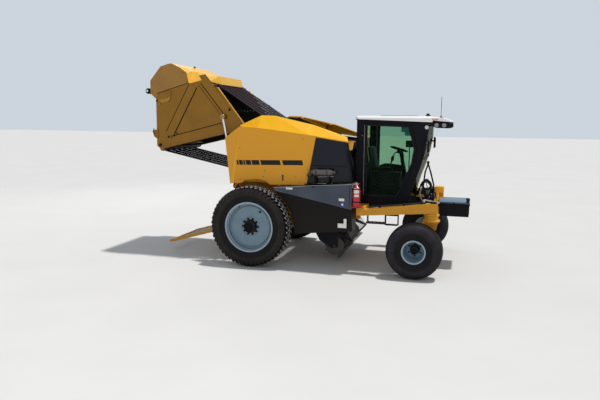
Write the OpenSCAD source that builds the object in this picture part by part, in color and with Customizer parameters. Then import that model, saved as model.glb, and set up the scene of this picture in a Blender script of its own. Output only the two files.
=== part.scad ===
// Self-propelled round baler with its tailgate raised.
// X runs forward, Y to the machine's left and Z up from the ground, in millimetres.
// Outlines give [x, z] in the machine's own frame, and each side is modelled on the left.

/* [Place] */
// Machine's own zero behind the middle of the overall length
axle_x = -740; // [-790:1:-700]
// Machine's own zero over the ground
body_lift = 45; // [30:1:60]

/* [Drive wheels] */
// Tyre diameter over the lug tips
drive_d = 1610; // [1590:5:1630]
// Drive axle behind the machine's own zero
drive_x = -25; // [-30:1:0]
// Tyre width
drive_w = 380; // [350:5:410]
// Tyre centre plane from the middle of the machine
drive_y = 1436; // [1420:1:1460]
// Rim diameter over its flanges
drive_rim_d = 1005; // [985:5:1040]
// Height of the tread lugs
lug_h = 42; // [30:1:50]
// Lugs on each side of a drive tyre
lug_count = 52; // [48:1:56]
// Wheel disc outward from the tyre centre plane
drive_disc_y = 45; // [20:1:80]
// Wheel spindle diameter
spindle_d = 120; // [100:1:140]

/* [Casters] */
// Caster tyre diameter
caster_d = 1050; // [1000:5:1080]
// Caster tyre width
caster_w = 420; // [380:5:430]
// Caster tyre centre plane from the middle of the machine
caster_y = 1384; // [1380:1:1400]
// Caster rim diameter over its flanges
caster_rim_d = 450; // [430:5:480]
// Kingpin ahead of the drive axle
kingpin_x = 3500; // [3450:5:3550]
// Kingpin from the middle of the machine
kingpin_y = 1280; // [1275:1:1285]
// Caster trail behind the kingpin
trail = 310; // [280:5:330]
// Kingpin diameter
kingpin_d = 80; // [60:1:90]
// Height of the turning head over the caster tyre
head_h = 140; // [130:1:160]
// Diameter of the kingpin housing
head_d = 150; // [140:1:160]
// Caster wheel spindle diameter
caster_pin_d = 80; // [60:1:100]

/* [Frame] */
// Inner face of a main rail from the middle
rail_y = 860; // [850:1:880]
// Width of a main rail
rail_w = 120; // [100:1:140]
// Underside of the main rails
rail_z = 950; // [920:5:980]
// Height of a main rail
rail_h = 250; // [220:5:280]
// Rear end of the main rails
rail_rear_x = -620; // [-640:5:-610]
// Front end of the main rails
rail_front_x = 2080; // [2060:5:2100]
// Inner face of a front arm from the middle
arm_y = 1205; // [1200:1:1215]
// Width of a front arm
arm_w = 150; // [130:1:155]
// Hole of a front tow lug from the middle
tow_y = 770; // [760:5:780]
// Thickness of a tow lug
tow_t = 25; // [20:1:30]
// Hole in a tow lug
tow_d = 40; // [36:1:42]
// Hole of a rear tie-down lug from the middle
tie_y = 937; // [935:1:940]
// Thickness of a tie-down lug
tie_t = 20; // [16:1:24]
// Hole in a tie-down lug
tie_d = 32; // [28:1:34]
// Underside of the cab
cab_z = 1243; // [1243:1:1250]

/* [Bale chamber and tailgate] */
// Inner face of the chamber sides from the middle
chamber_y = 780; // [740:5:790]
// Thickness of the chamber sides
chamber_t = 30; // [20:1:40]
// Inner face of the tailgate sides from the middle
gate_y = 845; // [843:1:850]
// Thickness of the tailgate sides
gate_t = 35; // [25:1:38]
// Tailgate pivot ahead of the drive axle
pivot_x = -300; // [-310:1:-290]
// Tailgate pivot above the ground
pivot_z = 2640; // [2620:1:2660]
// Tailgate pivot pin diameter
pivot_d = 80; // [60:1:90]
// Belt roller diameter
roller_d = 120; // [100:2:130]
// Belt thickness
belt_t = 8; // [6:1:10]
// Belts side by side
belt_count = 6; // [5:1:7]
// Width taken by all the belts
belts_w = 1500; // [1400:10:1520]
// Gap between two belts
belt_gap = 45; // [30:1:60]

/* [Tailgate cylinders] */
// Cylinder centre line from the middle
cyl_y = 970; // [965:1:980]
// Barrel outer diameter
barrel_d = 90; // [80:1:95]
// Start of the rod inside the barrel, from the barrel's pin
rod_tail = 680; // [670:1:700]
// Rod diameter
rod_d = 50; // [40:1:56]
// Barrel length from its eye
barrel_len = 800; // [790:5:805]
// Barrel eye ahead of the drive axle
barrel_x = -540; // [-550:1:-530]
// Barrel eye above the ground
barrel_z = 1500; // [1490:1:1510]
// Rod eye ahead of the drive axle
rod_x = -830; // [-840:1:-820]
// Rod eye above the ground
rod_z = 2920; // [2910:1:2930]
// Diameter of the cylinder pins
cyl_pin_d = 50; // [40:1:54]

/* [Side shields] */
// Outer face of a side shield from the middle
shield_y = 1200; // [1195:1:1215]
// Ridge of a side shield from the middle
ridge_y = 950; // [945:1:960]
// Thickness of a side shield
shield_t = 20; // [12:1:24]
// Shield hinge pin diameter
shield_pin_d = 24; // [20:1:28]

/* [Side boxes] */
// Outer crease of a side box from the middle
box_y = 1450; // [1430:1:1460]
// Radius of the wheel cut-out in a side box
wheel_cut_r = 870; // [860:1:880]

/* [Cab] */
// Outer face of the cab sides from the middle
cab_y = 850; // [840:1:860]
// Thickness of the cab walls and doors
cab_t = 50; // [40:1:60]
// Underside of the roof
roof_z = 2890; // [2870:1:2910]
// Thickness of the roof
roof_t = 75; // [60:1:90]
// Gap round each door
door_gap = 8; // [6:1:12]
// Width of a door frame
door_frame = 50; // [40:1:60]
// Glass thickness
glass_t = 8; // [6:1:10]
// Door hinge pin diameter
door_pin_d = 20; // [16:1:24]

/* [Pickup] */
// Reel centre ahead of the drive axle
reel_x = 1560; // [1540:5:1580]
// Reel centre above the ground
reel_z = 350; // [340:5:370]
// Reel diameter over the tines
reel_d = 580; // [540:5:600]
// Half of the reel length
reel_y = 860; // [820:5:870]
// Tine bars round the reel
tine_bars = 5; // [4:1:6]
// Tines on each bar
tine_count = 24; // [20:1:25]
// Distance between two tines
tine_pitch = 66; // [60:1:68]
// Reel shaft diameter
reel_shaft_d = 40; // [30:1:50]
// Inner face of the pickup sides from the middle
pickup_y = 885; // [880:1:895]
// Pickup pivot ahead of the drive axle
lift_x = 1150; // [1140:5:1160]
// Pickup pivot above the ground
lift_z = 800; // [790:5:820]
// Pickup pivot pin diameter
lift_d = 50; // [40:1:60]

/* [Bale ramp] */
// Ramp pivot ahead of the drive axle
ramp_x = -830; // [-850:5:-820]
// Ramp pivot above the ground
ramp_z = 560; // [550:5:570]
// Ramp length from its pivot
ramp_len = 1500; // [1400:10:1550]
// Ramp slope down to the rear in degrees
ramp_slope = 16; // [14:0.5:17]
// Ramp rail centre from the middle
ramp_y = 640; // [600:5:680]
// Ramp pivot pin diameter
ramp_d = 40; // [30:1:50]

/* [Hidden] */
$fn = 64;
// Radial gap of a pin that turns in its bore
pin_gap = 0.1;
// Gap between faces that turn past each other
face_gap = 3;
yellow = "#f4b62a";
dark = "#33353a";
black = "#1c1c1e";
steel = "#8f9499";
rim_grey = "#a9b4c0";
white = "#f2f2ef";

rail_top = rail_z + rail_h;
rail_out = rail_y + rail_w;
beam_len = 150;
deck_t = 30;
housing_z = caster_d + head_h - body_lift;
beam_front = rail_front_x + beam_len;
arm_out = arm_y + arm_w;
front_beam_x = 3330;
caster_x = kingpin_x - trail;
chamber_out = chamber_y + chamber_t;
gate_out = gate_y + gate_t;
axle_z = drive_d / 2 - body_lift;
pickup_out = pickup_y + 15;
caster_z = caster_d / 2 - body_lift;

// Moves the machine so that the drive axle is at axle_x
module place() {
    translate([axle_x, 0, body_lift]) children();
}

// Left is side 1 and right is side -1
module on_side(side) {
    mirror([0, side < 0 ? 1 : 0, 0]) children();
}

module both_sides() {
    for (side = [-1, 1]) on_side(side) children();
}

// An [x, z] outline as a plate from y0 to y1
module plate(outline, y0, y1) {
    translate([0, y1, 0]) rotate([90, 0, 0]) linear_extrude(y1 - y0) polygon(outline);
}

module block(x0, x1, y0, y1, z0, z1) {
    translate([x0, y0, z0]) cube([x1 - x0, y1 - y0, z1 - z0]);
}

// A round bar along Y
module bar(x, z, d, y0, y1) {
    translate([x, y0, z]) rotate([-90, 0, 0]) cylinder(d = d, h = y1 - y0);
}

// A flat bar of the given height between two [x, z] points
module link(p, q, height, y0, y1) {
    dx = q[0] - p[0];
    dz = q[1] - p[1];
    translate([p[0], 0, p[1]]) rotate([0, -atan2(dz, dx), 0])
        block(0, norm([dx, dz]), y0, y1, -height / 2, height / 2);
}

// A wheel's [radius, outward] profile turned about its axle
module wheel_solid(x, y, z) {
    translate([x, y, z]) rotate([-90, 0, 0]) rotate_extrude() children();
}

// A sheet between two rows of points, moved by depth for its inner face
module ruled_sheet(row_a, row_b, depth) {
    n = len(row_a);
    points = concat(row_a, row_b, [for (p = row_a) p + depth], [for (p = row_b) p + depth]);
    faces = concat(
        [for (i = [0 : n - 2]) each [[i, i + 1, n + i], [i + 1, n + i + 1, n + i]]],
        [for (i = [0 : n - 2]) each [[2 * n + i, 3 * n + i, 2 * n + i + 1],
                                     [2 * n + i + 1, 3 * n + i, 3 * n + i + 1]]],
        [for (i = [0 : n - 2]) each [[i, 2 * n + i, i + 1], [i + 1, 2 * n + i, 2 * n + i + 1]]],
        [for (i = [0 : n - 2]) each [[n + i, n + i + 1, 3 * n + i],
                                     [n + i + 1, 3 * n + i + 1, 3 * n + i]]],
        [[0, n, 2 * n], [n, 3 * n, 2 * n]],
        [[n - 1, 3 * n - 1, 2 * n - 1], [2 * n - 1, 3 * n - 1, 4 * n - 1]]);
    polyhedron(points, faces);
}

// Main frame

module rails() {
    motor_end = drive_y - drive_half + 40;
    place() color(yellow) both_sides() difference() {
        union() {
            block(rail_rear_x, rail_front_x, rail_y, rail_out, rail_z, rail_top);
            translate([drive_x, 0, 0])
                plate([[-170, rail_top], [-220, rail_z], [-150, axle_z - 190], [-90, axle_z - 230],
                       [90, axle_z - 230], [150, axle_z - 190], [220, rail_z], [170, rail_top]],
                      rail_out, rail_out + 80);
            bar(drive_x, axle_z, 340, rail_out + 80, motor_end - 40);
            bar(drive_x, axle_z, 280, motor_end - 40, motor_end);
            bar(drive_x, axle_z, spindle_d, motor_end, drive_y + drive_disc_y + 60);
            block(barrel_x - 45, barrel_x + 45, cyl_y - 58, cyl_y - 40, rail_top, barrel_z);
            bar(barrel_x, barrel_z, 90, cyl_y - 58, cyl_y - 40);
            bar(barrel_x, barrel_z, cyl_pin_d, cyl_y - 40, cyl_y + 42);
            block(lift_x - 55, lift_x + 55, rail_y + 60, rail_y + 80, lift_z - 55, rail_z);
        }
        bar(lift_x, lift_z, lift_d + 2 * pin_gap, rail_y + 50, rail_y + 90);
    }
}

module cross_beams() {
    place() color(yellow) difference() {
        union() {
            block(rail_front_x, beam_front, -arm_out, arm_out, 1080, 1240);
            block(front_beam_x, front_beam_x + beam_len, -arm_y, arm_y, housing_z - 40, cab_z - 3);
            block(1100, 1220, -rail_y, rail_y, rail_z + 50, rail_top);
            block(1060, 1950, -rail_out, rail_out, rail_top, rail_top + deck_t);
        }
        both_sides() translate([kingpin_x, kingpin_y, 0]) {
            cylinder(d = head_d, h = housing_z + 300);
            cylinder(d = 250, h = housing_z + 25);
        }
    }
}

// A flat lug with an upright hole, from a face at x towards the end at reach
module flat_lug(x, reach, y, z, thick, hole) {
    half = abs(reach) / 2;
    hole_x = x + sign(reach) * (abs(reach) - half);
    translate([0, 0, z]) difference() {
        union() {
            translate([min(x, hole_x), y - half, 0]) cube([half, 2 * half, thick]);
            translate([hole_x, y, 0]) cylinder(d = 2 * half, h = thick);
        }
        translate([hole_x, y, -1]) cylinder(d = hole, h = thick + 2);
    }
}

module tie_lugs() {
    place() color(yellow) both_sides() {
        flat_lug(front_beam_x + beam_len, 80, tow_y, housing_z - 10, tow_t, tow_d);
        flat_lug(rail_rear_x, -64, tie_y, 1000, tie_t, tie_d);
    }
}

module cab_rails() {
    place() color(dark) both_sides()
        block(beam_front, front_beam_x, 450, 570, 1150, cab_z);
}

arm_tip_x = kingpin_x + 75;
arm_outline = [[beam_front, 1084], [beam_front, 1198], [kingpin_x - 60, housing_z + 222],
               [arm_tip_x, housing_z + 225], [arm_tip_x, housing_z + 40],
               [kingpin_x - 60, housing_z + 38]];

module arms() {
    place() color(yellow) both_sides() difference() {
        union() {
            plate(arm_outline, arm_y, arm_out);
            translate([kingpin_x, kingpin_y, housing_z]) cylinder(d = head_d, h = 225);
            translate([kingpin_x, kingpin_y, housing_z]) cylinder(d = 230, h = 25);
        }
        translate([kingpin_x, kingpin_y, housing_z - 10])
            cylinder(d = kingpin_d + 2 * pin_gap, h = 285);
    }
}

// Wheels

// Rim flange height over the bead seat, and flange thickness
flange_h = 20;
flange_t = 12;
drive_seat_r = drive_rim_d / 2 - flange_h;
drive_half = drive_w / 2;
bead_y = drive_half - 45;

function on_wheel(radius, angle, y) = [radius * cos(angle), y, radius * sin(angle)];

// Lug stations: [outward, sweep in degrees, half width, outer radius, inner radius]
lug_top = drive_d / 2;
lug_stations = [[-6, 0, 12, lug_top, lug_top - lug_h - 8],
                [drive_half - 32, 10, 13, lug_top - 2, lug_top - lug_h - 10],
                [drive_half + 3, 12, 15, lug_top - 68, lug_top - 104]];

// One tread bar from the crown to the sidewall, as a mesh through the stations
module lug(angle) {
    corners = [for (st = lug_stations)
        let (middle = angle + st[1], half = st[2] / st[3] * 180 / PI, foot = half * 1.35)
        [on_wheel(st[4], middle - foot, st[0]), on_wheel(st[4], middle + foot, st[0]),
         on_wheel(st[3], middle + half, st[0]), on_wheel(st[3], middle - half, st[0])]];
    faces = [for (k = [0 : len(corners) - 2], i = [0 : 3])
        let (a = 4 * k + i, b = 4 * k + (i + 1) % 4)
        each [[a, a + 4, b], [b, a + 4, b + 4]]];
    last = 4 * (len(corners) - 1);
    polyhedron([for (c = corners) each c],
               concat(faces, [[0, 1, 2], [0, 2, 3], [last, last + 2, last + 1],
                              [last, last + 3, last + 2]]));
}

module drive_tyre(side) {
    crown = lug_top - lug_h;
    pitch = 360 / lug_count;
    place() color(black) on_side(side) {
        wheel_solid(drive_x, drive_y, axle_z)
            polygon([[drive_seat_r, -bead_y], [drive_seat_r, bead_y],
                     [drive_seat_r + flange_h, bead_y], [drive_seat_r + 35, bead_y + 22],
                     [600, drive_half - 2], [650, drive_half], [690, drive_half - 3],
                     [crown - 12, drive_half - 22], [crown, drive_half - 50],
                     [crown, 50 - drive_half], [crown - 12, 22 - drive_half],
                     [690, 3 - drive_half], [650, -drive_half], [600, 2 - drive_half],
                     [drive_seat_r + 35, -bead_y - 22], [drive_seat_r + flange_h, -bead_y]]);
        translate([drive_x, drive_y, axle_z]) for (i = [0 : lug_count - 1]) {
            lug(i * pitch - 90);
            mirror([0, 1, 0]) lug((i + 0.5) * pitch - 90);
        }
    }
}

module drive_rim(side) {
    bore = spindle_d / 2 + pin_gap;
    hub_r = 118;
    flange_out = bead_y + flange_t;
    place() color(rim_grey) on_side(side) difference() {
        wheel_solid(drive_x, drive_y, axle_z)
            polygon([[bore, drive_disc_y - 20], [drive_seat_r - 90, drive_disc_y - 20],
                     [drive_seat_r - 70, 5], [drive_seat_r - 12, 5],
                     [drive_seat_r - 12, -flange_out], [drive_seat_r + flange_h, -flange_out],
                     [drive_seat_r + flange_h, -bead_y], [drive_seat_r, -bead_y],
                     [drive_seat_r, bead_y], [drive_seat_r + flange_h, bead_y],
                     [drive_seat_r + flange_h, flange_out], [drive_seat_r - 8, flange_out],
                     [drive_seat_r - 14, flange_out - 14], [drive_seat_r - 14, 90],
                     [drive_seat_r - 30, 84], [drive_seat_r - 34, 30], [drive_seat_r - 66, 24],
                     [drive_seat_r - 80, drive_disc_y], [208, drive_disc_y],
                     [204, drive_disc_y + 4], [192, drive_disc_y + 4],
                     [188, drive_disc_y], [hub_r + 2, drive_disc_y],
                     [hub_r, drive_disc_y + 70], [hub_r - 30, drive_disc_y + 96],
                     [bore, drive_disc_y + 96]]);
        translate([drive_x, drive_y, axle_z]) rotate([0, -56, 0]) translate([362, 0, 0])
            rotate([-90, 0, 0]) cylinder(d = 50, h = 200, center = true);
    }
}

caster_seat_r = caster_rim_d / 2 - flange_h;
caster_half = caster_w / 2;
caster_bead_y = caster_half - 45;

// The tread falls away from the crown towards the shoulders
function crown_drop(y) = y * y / 1600;

module caster_tyre(side) {
    tip = caster_d / 2;
    // Grooves between the tread ribs: [outward, depth]
    grooves = [for (y = [-108, -54, 0, 54, 108]) [y, 12]];
    tread = [for (g = grooves)
        let (top = tip - crown_drop(g[0]), base = top - g[1])
        each [[top, g[0] + 9], [base, g[0] + 5], [base, g[0] - 5], [top, g[0] - 9]]];
    place() color(black) on_side(side) wheel_solid(caster_x, caster_y, caster_z)
        polygon(concat([[caster_seat_r, -caster_bead_y], [caster_seat_r, caster_bead_y],
                        [caster_seat_r + flange_h, caster_bead_y],
                        [caster_seat_r + 40, caster_bead_y + 24], [340, caster_half - 2],
                        [380, caster_half], [430, caster_half - 4], [475, caster_half - 22],
                        [tip - 22, caster_half - 50]],
                       [for (i = [len(grooves) - 1 : -1 : 0], k = [0 : 3]) tread[4 * i + k]],
                       [[tip - 22, 50 - caster_half], [475, 22 - caster_half],
                        [430, 4 - caster_half], [380, -caster_half], [340, 2 - caster_half],
                        [caster_seat_r + 40, -caster_bead_y - 24],
                        [caster_seat_r + flange_h, -caster_bead_y]]));
}

module caster_rim(side) {
    bore = caster_pin_d / 2 + pin_gap;
    flange_out = caster_bead_y + flange_t;
    dish = -150;
    place() color(white) on_side(side) wheel_solid(caster_x, caster_y, caster_z)
        polygon([[bore, dish - 14], [caster_seat_r - 10, dish - 14],
                 [caster_seat_r - 10, -flange_out], [caster_seat_r + flange_h, -flange_out],
                 [caster_seat_r + flange_h, -caster_bead_y], [caster_seat_r, -caster_bead_y],
                 [caster_seat_r, caster_bead_y], [caster_seat_r + flange_h, caster_bead_y],
                 [caster_seat_r + flange_h, flange_out], [caster_seat_r - 6, flange_out],
                 [caster_seat_r - 12, flange_out - 12], [caster_seat_r - 14, 60],
                 [caster_seat_r - 22, -90], [caster_seat_r - 45, dish], [95, dish],
                 [86, -60], [70, 25], [bore, 30]]);
}

// The leg that carries a caster wheel from its kingpin

module caster_fork(side) {
    leg_in = caster_y - caster_half - 89;
    leg_out = caster_y - caster_half - 24;
    plate_z = caster_d - body_lift;
    place() color(yellow) on_side(side) {
        translate([kingpin_x, kingpin_y, plate_z + 30]) rotate_extrude()
            polygon([[0, 0], [130, 0], [130, 22], [100, 40], [95, head_h - 50],
                     [112, head_h - 38], [112, head_h - 30 - face_gap], [0, head_h - 30 - face_gap]]);
        translate([kingpin_x, kingpin_y, plate_z]) cylinder(d = kingpin_d, h = housing_z + 205 - plate_z);
        block(kingpin_x - 100, kingpin_x + 100, leg_in, kingpin_y + 60, plate_z, plate_z + 40);
        plate([[kingpin_x - 100, plate_z + 40], [kingpin_x + 100, plate_z + 40],
               [kingpin_x + 60, plate_z - 150], [caster_x + 110, caster_z - 40],
               [caster_x + 60, caster_z - 85], [caster_x - 60, caster_z - 85],
               [caster_x - 90, caster_z - 40], [caster_x - 80, caster_z + 90]],
              leg_in, leg_out);
        bar(caster_x, caster_z, 170, leg_out, leg_out + 12);
        bar(caster_x, caster_z, caster_pin_d, leg_out, caster_y + 50);
    }
}

// Bale chamber

chamber_outline = [[-230, 2740], [50, 2920], [350, 2900], [1000, 2650], [1050, 1600],
                   [950, 750], [-200, 620], [-780, 640], [-780, 760], [-330, 2160],
                   [pivot_x - 60, pivot_z - 60]];

// The ridge falls forward from its crown at this angle
ridge_fall = atan2(2948 - 2772, 1120 - 300);
// Places of the shield hinges along the ridge
shield_hinge_x = [330, 1000];

function ridge_z(x) = 2948 - (x - 300) * tan(ridge_fall);

module along_ridge(x) {
    translate([x, ridge_y - 15, ridge_z(x) - 36]) rotate([0, 90 + ridge_fall, 0]) children();
}

module chamber_sides() {
    place() color(dark) both_sides() difference() {
        union() {
            plate(chamber_outline, chamber_y, chamber_out);
            bar(pivot_x, pivot_z, 150, chamber_y, gate_y - 5);
            bar(pivot_x, pivot_z, pivot_d, chamber_y, gate_out + 5);
            for (x = [-560, 160, 820])
                block(x, x + 120, chamber_y, rail_y, rail_z + 40, rail_top - 30);
            plate([[ramp_x - 45, ramp_z - 45], [ramp_x - 45, ramp_z + 30],
                   [-770, 700], [-600, 700], [-600, 640]], chamber_y, chamber_out);
            for (x = shield_hinge_x) {
                block(x - 50, x - 20, chamber_y, ridge_y - 3, ridge_z(x) - 80, ridge_z(x) - 30);
                block(x - 50, x - 20, chamber_y, chamber_out, ridge_z(x) - 330, ridge_z(x) - 30);
                along_ridge(x) translate([0, 0, -35]) cylinder(d = shield_pin_d, h = 80);
            }
        }
        bar(ramp_x, ramp_z, ramp_d + 2 * pin_gap, chamber_y - 10, chamber_out + 10);
    }
}

// Rollers between the chamber sides: [x, z, diameter]
chamber_rolls = [[15, 2833, roller_d], [860, 2480, roller_d], [560, 1640, roller_d],
                 [880, 1100, 200], [760, 860, 200], [-560, 760, 160]];

module chamber_rollers() {
    place() color(steel)
        for (roll = chamber_rolls) bar(roll[0], roll[1], roll[2], -chamber_y, chamber_y);
}

module chamber_front() {
    place() color(dark)
        plate([[1000, 2600], [1020, 2600], [1050, 1600], [1005, 960], [987, 960], [1025, 1600]],
              -chamber_y, chamber_y);
}

// Belts: a row of strips side by side between two [x, z] points on their middle line
module belt_strips(p, q) {
    pitch = (belts_w + belt_gap) / belt_count;
    for (i = [0 : belt_count - 1])
        link(p, q, belt_t, -belts_w / 2 + i * pitch, -belts_w / 2 + i * pitch + pitch - belt_gap);
}

// Tailgate rollers: [x, z, diameter]
gate_rolls = [[-1087, 3537, roller_d], [-2330, 3200, roller_d], [-2286, 2232, roller_d]];

// Point beside a roller, at an angle from forward, on the belt's middle line
function beside(roll, angle) =
    [roll[0], roll[1]] + (roll[2] / 2 + 0.3 + belt_t / 2) * [cos(angle), sin(angle)];

// Belts from one roller to the next, on the left (1) or the right (-1) of the way
module belt_run(from, to, turn) {
    angle = atan2(to[1] - from[1], to[0] - from[0]) + 90 * turn;
    belt_strips(beside(from, angle), beside(to, angle));
}

module belt_spans() {
    place() color(black) {
        belt_run(gate_rolls[0], chamber_rolls[0], 1);
        belt_run(gate_rolls[2], chamber_rolls[2], -1);
    }
}

module belts_chamber() {
    place() color(black)
        belt_run(chamber_rolls[2], chamber_rolls[1], -1);
}

module belts_gate() {
    place() color(black)
        belt_run(gate_rolls[1], gate_rolls[2], -1);
}

// Tailgate

gate_outline = [[-2324, 2215], [-1844, 2324], [-761, 2575], [-340, 2556], [-250, 2580],
                [-215, 2650], [-260, 2705], [-320, 2722], [-1269, 3788], [-1402, 3765],
                [-1337, 3670], [-1630, 3602], [-2377, 3388], [-2414, 3291], [-2415, 2284]];

// Pressed ribs on a tailgate side: [x, z, x, z, height]
gate_ribs = [[-1532, 3560, -2100, 2546, 170], [-1385, 3590, -880, 2968, 46],
             [-2050, 2456, -900, 2745, 60], [-450, 2848, -1272, 3772, 26],
             [-2285, 2245, -790, 2592, 34]];

module gate_sides() {
    rib_t = 12;
    place() color(yellow) both_sides() difference() {
        union() {
            plate(gate_outline, gate_y, gate_out);
            for (rib = gate_ribs)
                link([rib[0], rib[1]], [rib[2], rib[3]], rib[4], gate_out - 2, gate_out + rib_t);
            plate([[-2372, 3370], [-2350, 3180], [-2120, 3222], [-2064, 3290], [-2048, 3462]],
                  gate_out - 2, gate_out + rib_t);
            plate([[-2380, 2450], [-2440, 2450], [-2505, 2590], [-2480, 2625], [-2380, 2640]],
                  gate_out - 2, gate_out + rib_t);
            bar(rod_x, rod_z, 110, gate_out, cyl_y - 37);
        }
        bar(pivot_x, pivot_z, pivot_d + 2 * pin_gap, gate_y - 5, gate_out + 5);
    }
}

module gate_frame() {
    place() color(yellow) {
        bar(-1290, 3620, 80, -gate_y, gate_y);
        bar(-2345, 3330, 70, -gate_y, gate_y);
        bar(-2180, 2340, 90, -gate_y, gate_y);
    }
}

module gate_rollers() {
    place() color(steel)
        for (roll = gate_rolls) bar(roll[0], roll[1], roll[2], -gate_y, gate_y);
}

pod_t = 15;
pod_outline = [[-2414, 3291], [-2432, 3299], [-2543, 3396], [-2543, 3670], [-2294, 3963],
               [-2111, 4016], [-2030, 4022], [-1861, 3948], [-1686, 3831], [-1630, 3602],
               [-2377, 3388]];
pod_inside = [[-2528, 3000], [-2528, 3664], [-2285, 3948], [-2107, 4001], [-2033, 4007],
              [-1870, 3935], [-1700, 3821], [-1645, 3596], [-1645, 3000]];

// The cover runs forward from the wrap pod, lower at the tailgate sides
cover_middle = [[-1861, 3940], [-1690, 3880], [-1570, 3860], [-1350, 3815], [-1060, 3765],
                [-1010, 3600]];
cover_edge = [[-1861, 3935], [-1687, 3815], [-1630, 3590], [-1337, 3660], [-1269, 3770],
              [-1160, 3645]];
cover_y = 600;
cover_t = 14;

module wrap_pod() {
    place() color(yellow) {
        difference() {
            plate(pod_outline, -gate_out, gate_out);
            plate(pod_inside, pod_t - gate_out, gate_out - pod_t);
        }
        plate(concat(cover_middle, [for (i = [len(cover_middle) - 1 : -1 : 0])
                                    cover_middle[i] - [0, cover_t]]), -cover_y, cover_y);
        both_sides() ruled_sheet([for (p = cover_edge) [p[0], gate_y, p[1]]],
                                 [for (p = cover_middle) [p[0], cover_y, p[1]]],
                                 [0, 0, -cover_t]);
    }
}

module wrap_roller() {
    place() color(black) {
        bar(-2622, 3453, 120, -gate_y, gate_y);
        both_sides() {
            block(-2622, -2543, gate_y, gate_y + 15, 3425, 3481);
            bar(-2622, 3453, 56, gate_y, gate_out);
        }
    }
}

// Tailgate cylinders

cyl_angle = atan2(rod_z - barrel_z, rod_x - barrel_x);
cyl_len = norm([rod_z - barrel_z, rod_x - barrel_x]);

// Along a cylinder from its lower eye
module along_cylinder() {
    translate([barrel_x, cyl_y, barrel_z]) rotate([0, 90 - cyl_angle, 0]) children();
}

module barrel(side) {
    place() color(black) on_side(side) along_cylinder() difference() {
        union() {
            rotate([90, 0, 0]) cylinder(d = 110, h = 70, center = true);
            translate([0, 0, 50]) cylinder(d = barrel_d, h = barrel_len - 50);
        }
        rotate([90, 0, 0]) cylinder(d = cyl_pin_d + 2 * pin_gap, h = 90, center = true);
        translate([0, 0, 70]) cylinder(d = rod_d + 2 * pin_gap, h = barrel_len);
    }
}

module rod(side) {
    place() color(steel) on_side(side) along_cylinder() {
        translate([0, 0, rod_tail]) cylinder(d = rod_d, h = cyl_len - rod_tail);
        translate([0, -36, cyl_len]) rotate([-90, 0, 0]) cylinder(d = 100, h = 71);
    }
}

// Side shields

// Table of the top bevel: [x at the face, z at the face, x at the ridge, z at the ridge]
bevel = [[-352, 2737, -450, 2750], [20, 2701, 20, 2954], [300, 2674, 300, 2948],
         [1120, 2575, 1120, 2772], [1863, 2469, 1790, 2547]];
shield_outline = [[-352, 2737], [1175, 2568], [995, 1600], [280, 1580], [200, 1650],
                  [0, 1684], [-250, 1650], [-330, 1590], [-502, 1581]];

module side_shield(side) {
    place() color(yellow) on_side(side) difference() {
        union() {
            plate(shield_outline, shield_y - shield_t, shield_y);
            ruled_sheet([for (b = bevel) [b[0], shield_y, b[1]]],
                        [for (b = bevel) [b[2], ridge_y, b[3]]], [0, -10, -shield_t]);
            ruled_sheet([[-729, 1090, 2495], [-611, 1120, 1558]],
                        [[-352, shield_y, 2737], [-502, shield_y, 1581]],
                        [shield_t, -shield_t / 2, 0]);
            ruled_sheet([[1175, shield_y, 2568], [995, shield_y, 1600]],
                        [[1222, shield_y - 16, 2562], [1042, shield_y - 16, 1602]],
                        [0, -8, 0]);
            for (x = shield_hinge_x)
                along_ridge(x) translate([0, 0, -15]) cylinder(d = shield_pin_d + 16, h = 55);
        }
        for (x = shield_hinge_x)
            along_ridge(x) translate([0, 0, -60])
                cylinder(d = shield_pin_d + 2 * pin_gap, h = 120);
    }
}

// Engine bay

module engine_panels() {
    panel_y = shield_y - 50;
    outline = [[1190, 2520], [1845, 2445], [1950, 1669], [1010, 1588]];
    place() color(dark) both_sides() {
        plate(outline, panel_y, panel_y + 20);
        plate([[1825, 2447], [1845, 2445], [1950, 1669], [1926, 1667]],
              rail_out - 80, panel_y + 20);
        plate([[1922, 1700], [1945, 1700], [1950, rail_top + deck_t], [1920, rail_top + deck_t]],
              rail_out - 80, rail_out);
    }
}

module engine() {
    place() color(steel) block(1150, 1850, -350, 350, rail_top + deck_t, 2120);
}

module cooler() {
    slat_pitch = 40;
    place() color(dark) {
        difference() {
            block(1120, 1860, -720, 720, 2300, 2430);
            for (x = [1150 : slat_pitch : 1810]) block(x, x + 22, -690, 690, 2405, 2440);
        }
        for (x = [1140, 1800], y = [-700, 660])
            block(x, x + 40, y, y + 40, rail_top + deck_t, 2300);
    }
}

module muffler() {
    place() color(steel) on_side(-1) {
        translate([1174, 1300, 1865]) rotate([0, 90, 0]) rotate_extrude()
            polygon([[0, 0], [42, 0], [45, 25], [65, 50], [65, 385], [45, 405], [42, 419], [0, 419]]);
        for (x = [1260, 1470]) block(x, x + 40, shield_y - 30, 1250, 1800, 1870);
        block(1240, 1530, shield_y - 30, shield_y + 40, 1788, 1800);
    }
}

// Side boxes over the rails, behind the cab

// Sections of a side box: [x, underside, crease, top]
box_sections = [[457, 600, 1480, 1535], [1743, 733, 1219, 1646], [2000, 765, 1190, 1668]];

module side_boxes() {
    corners = [for (b = box_sections) each
        [[b[0], rail_out, b[1]], [b[0], box_y - 110, b[1]], [b[0], box_y, b[2]],
         [b[0], box_y - 25, b[3]], [b[0], rail_out, b[3]]]];
    n = 5;
    last = n * (len(box_sections) - 1);
    walls = [for (k = [0 : len(box_sections) - 2], i = [0 : n - 1])
        let (a = n * k + i, b = n * k + (i + 1) % n) each [[a, a + n, b], [b, a + n, b + n]]];
    ends = [for (i = [1 : n - 2]) each [[0, i, i + 1], [last, last + i + 1, last + i]]];
    place() color(dark) both_sides() difference() {
        polyhedron(corners, concat(walls, ends));
        bar(drive_x, axle_z, 2 * wheel_cut_r, rail_out - 10, box_y + 10);
    }
}

// Cab

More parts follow.
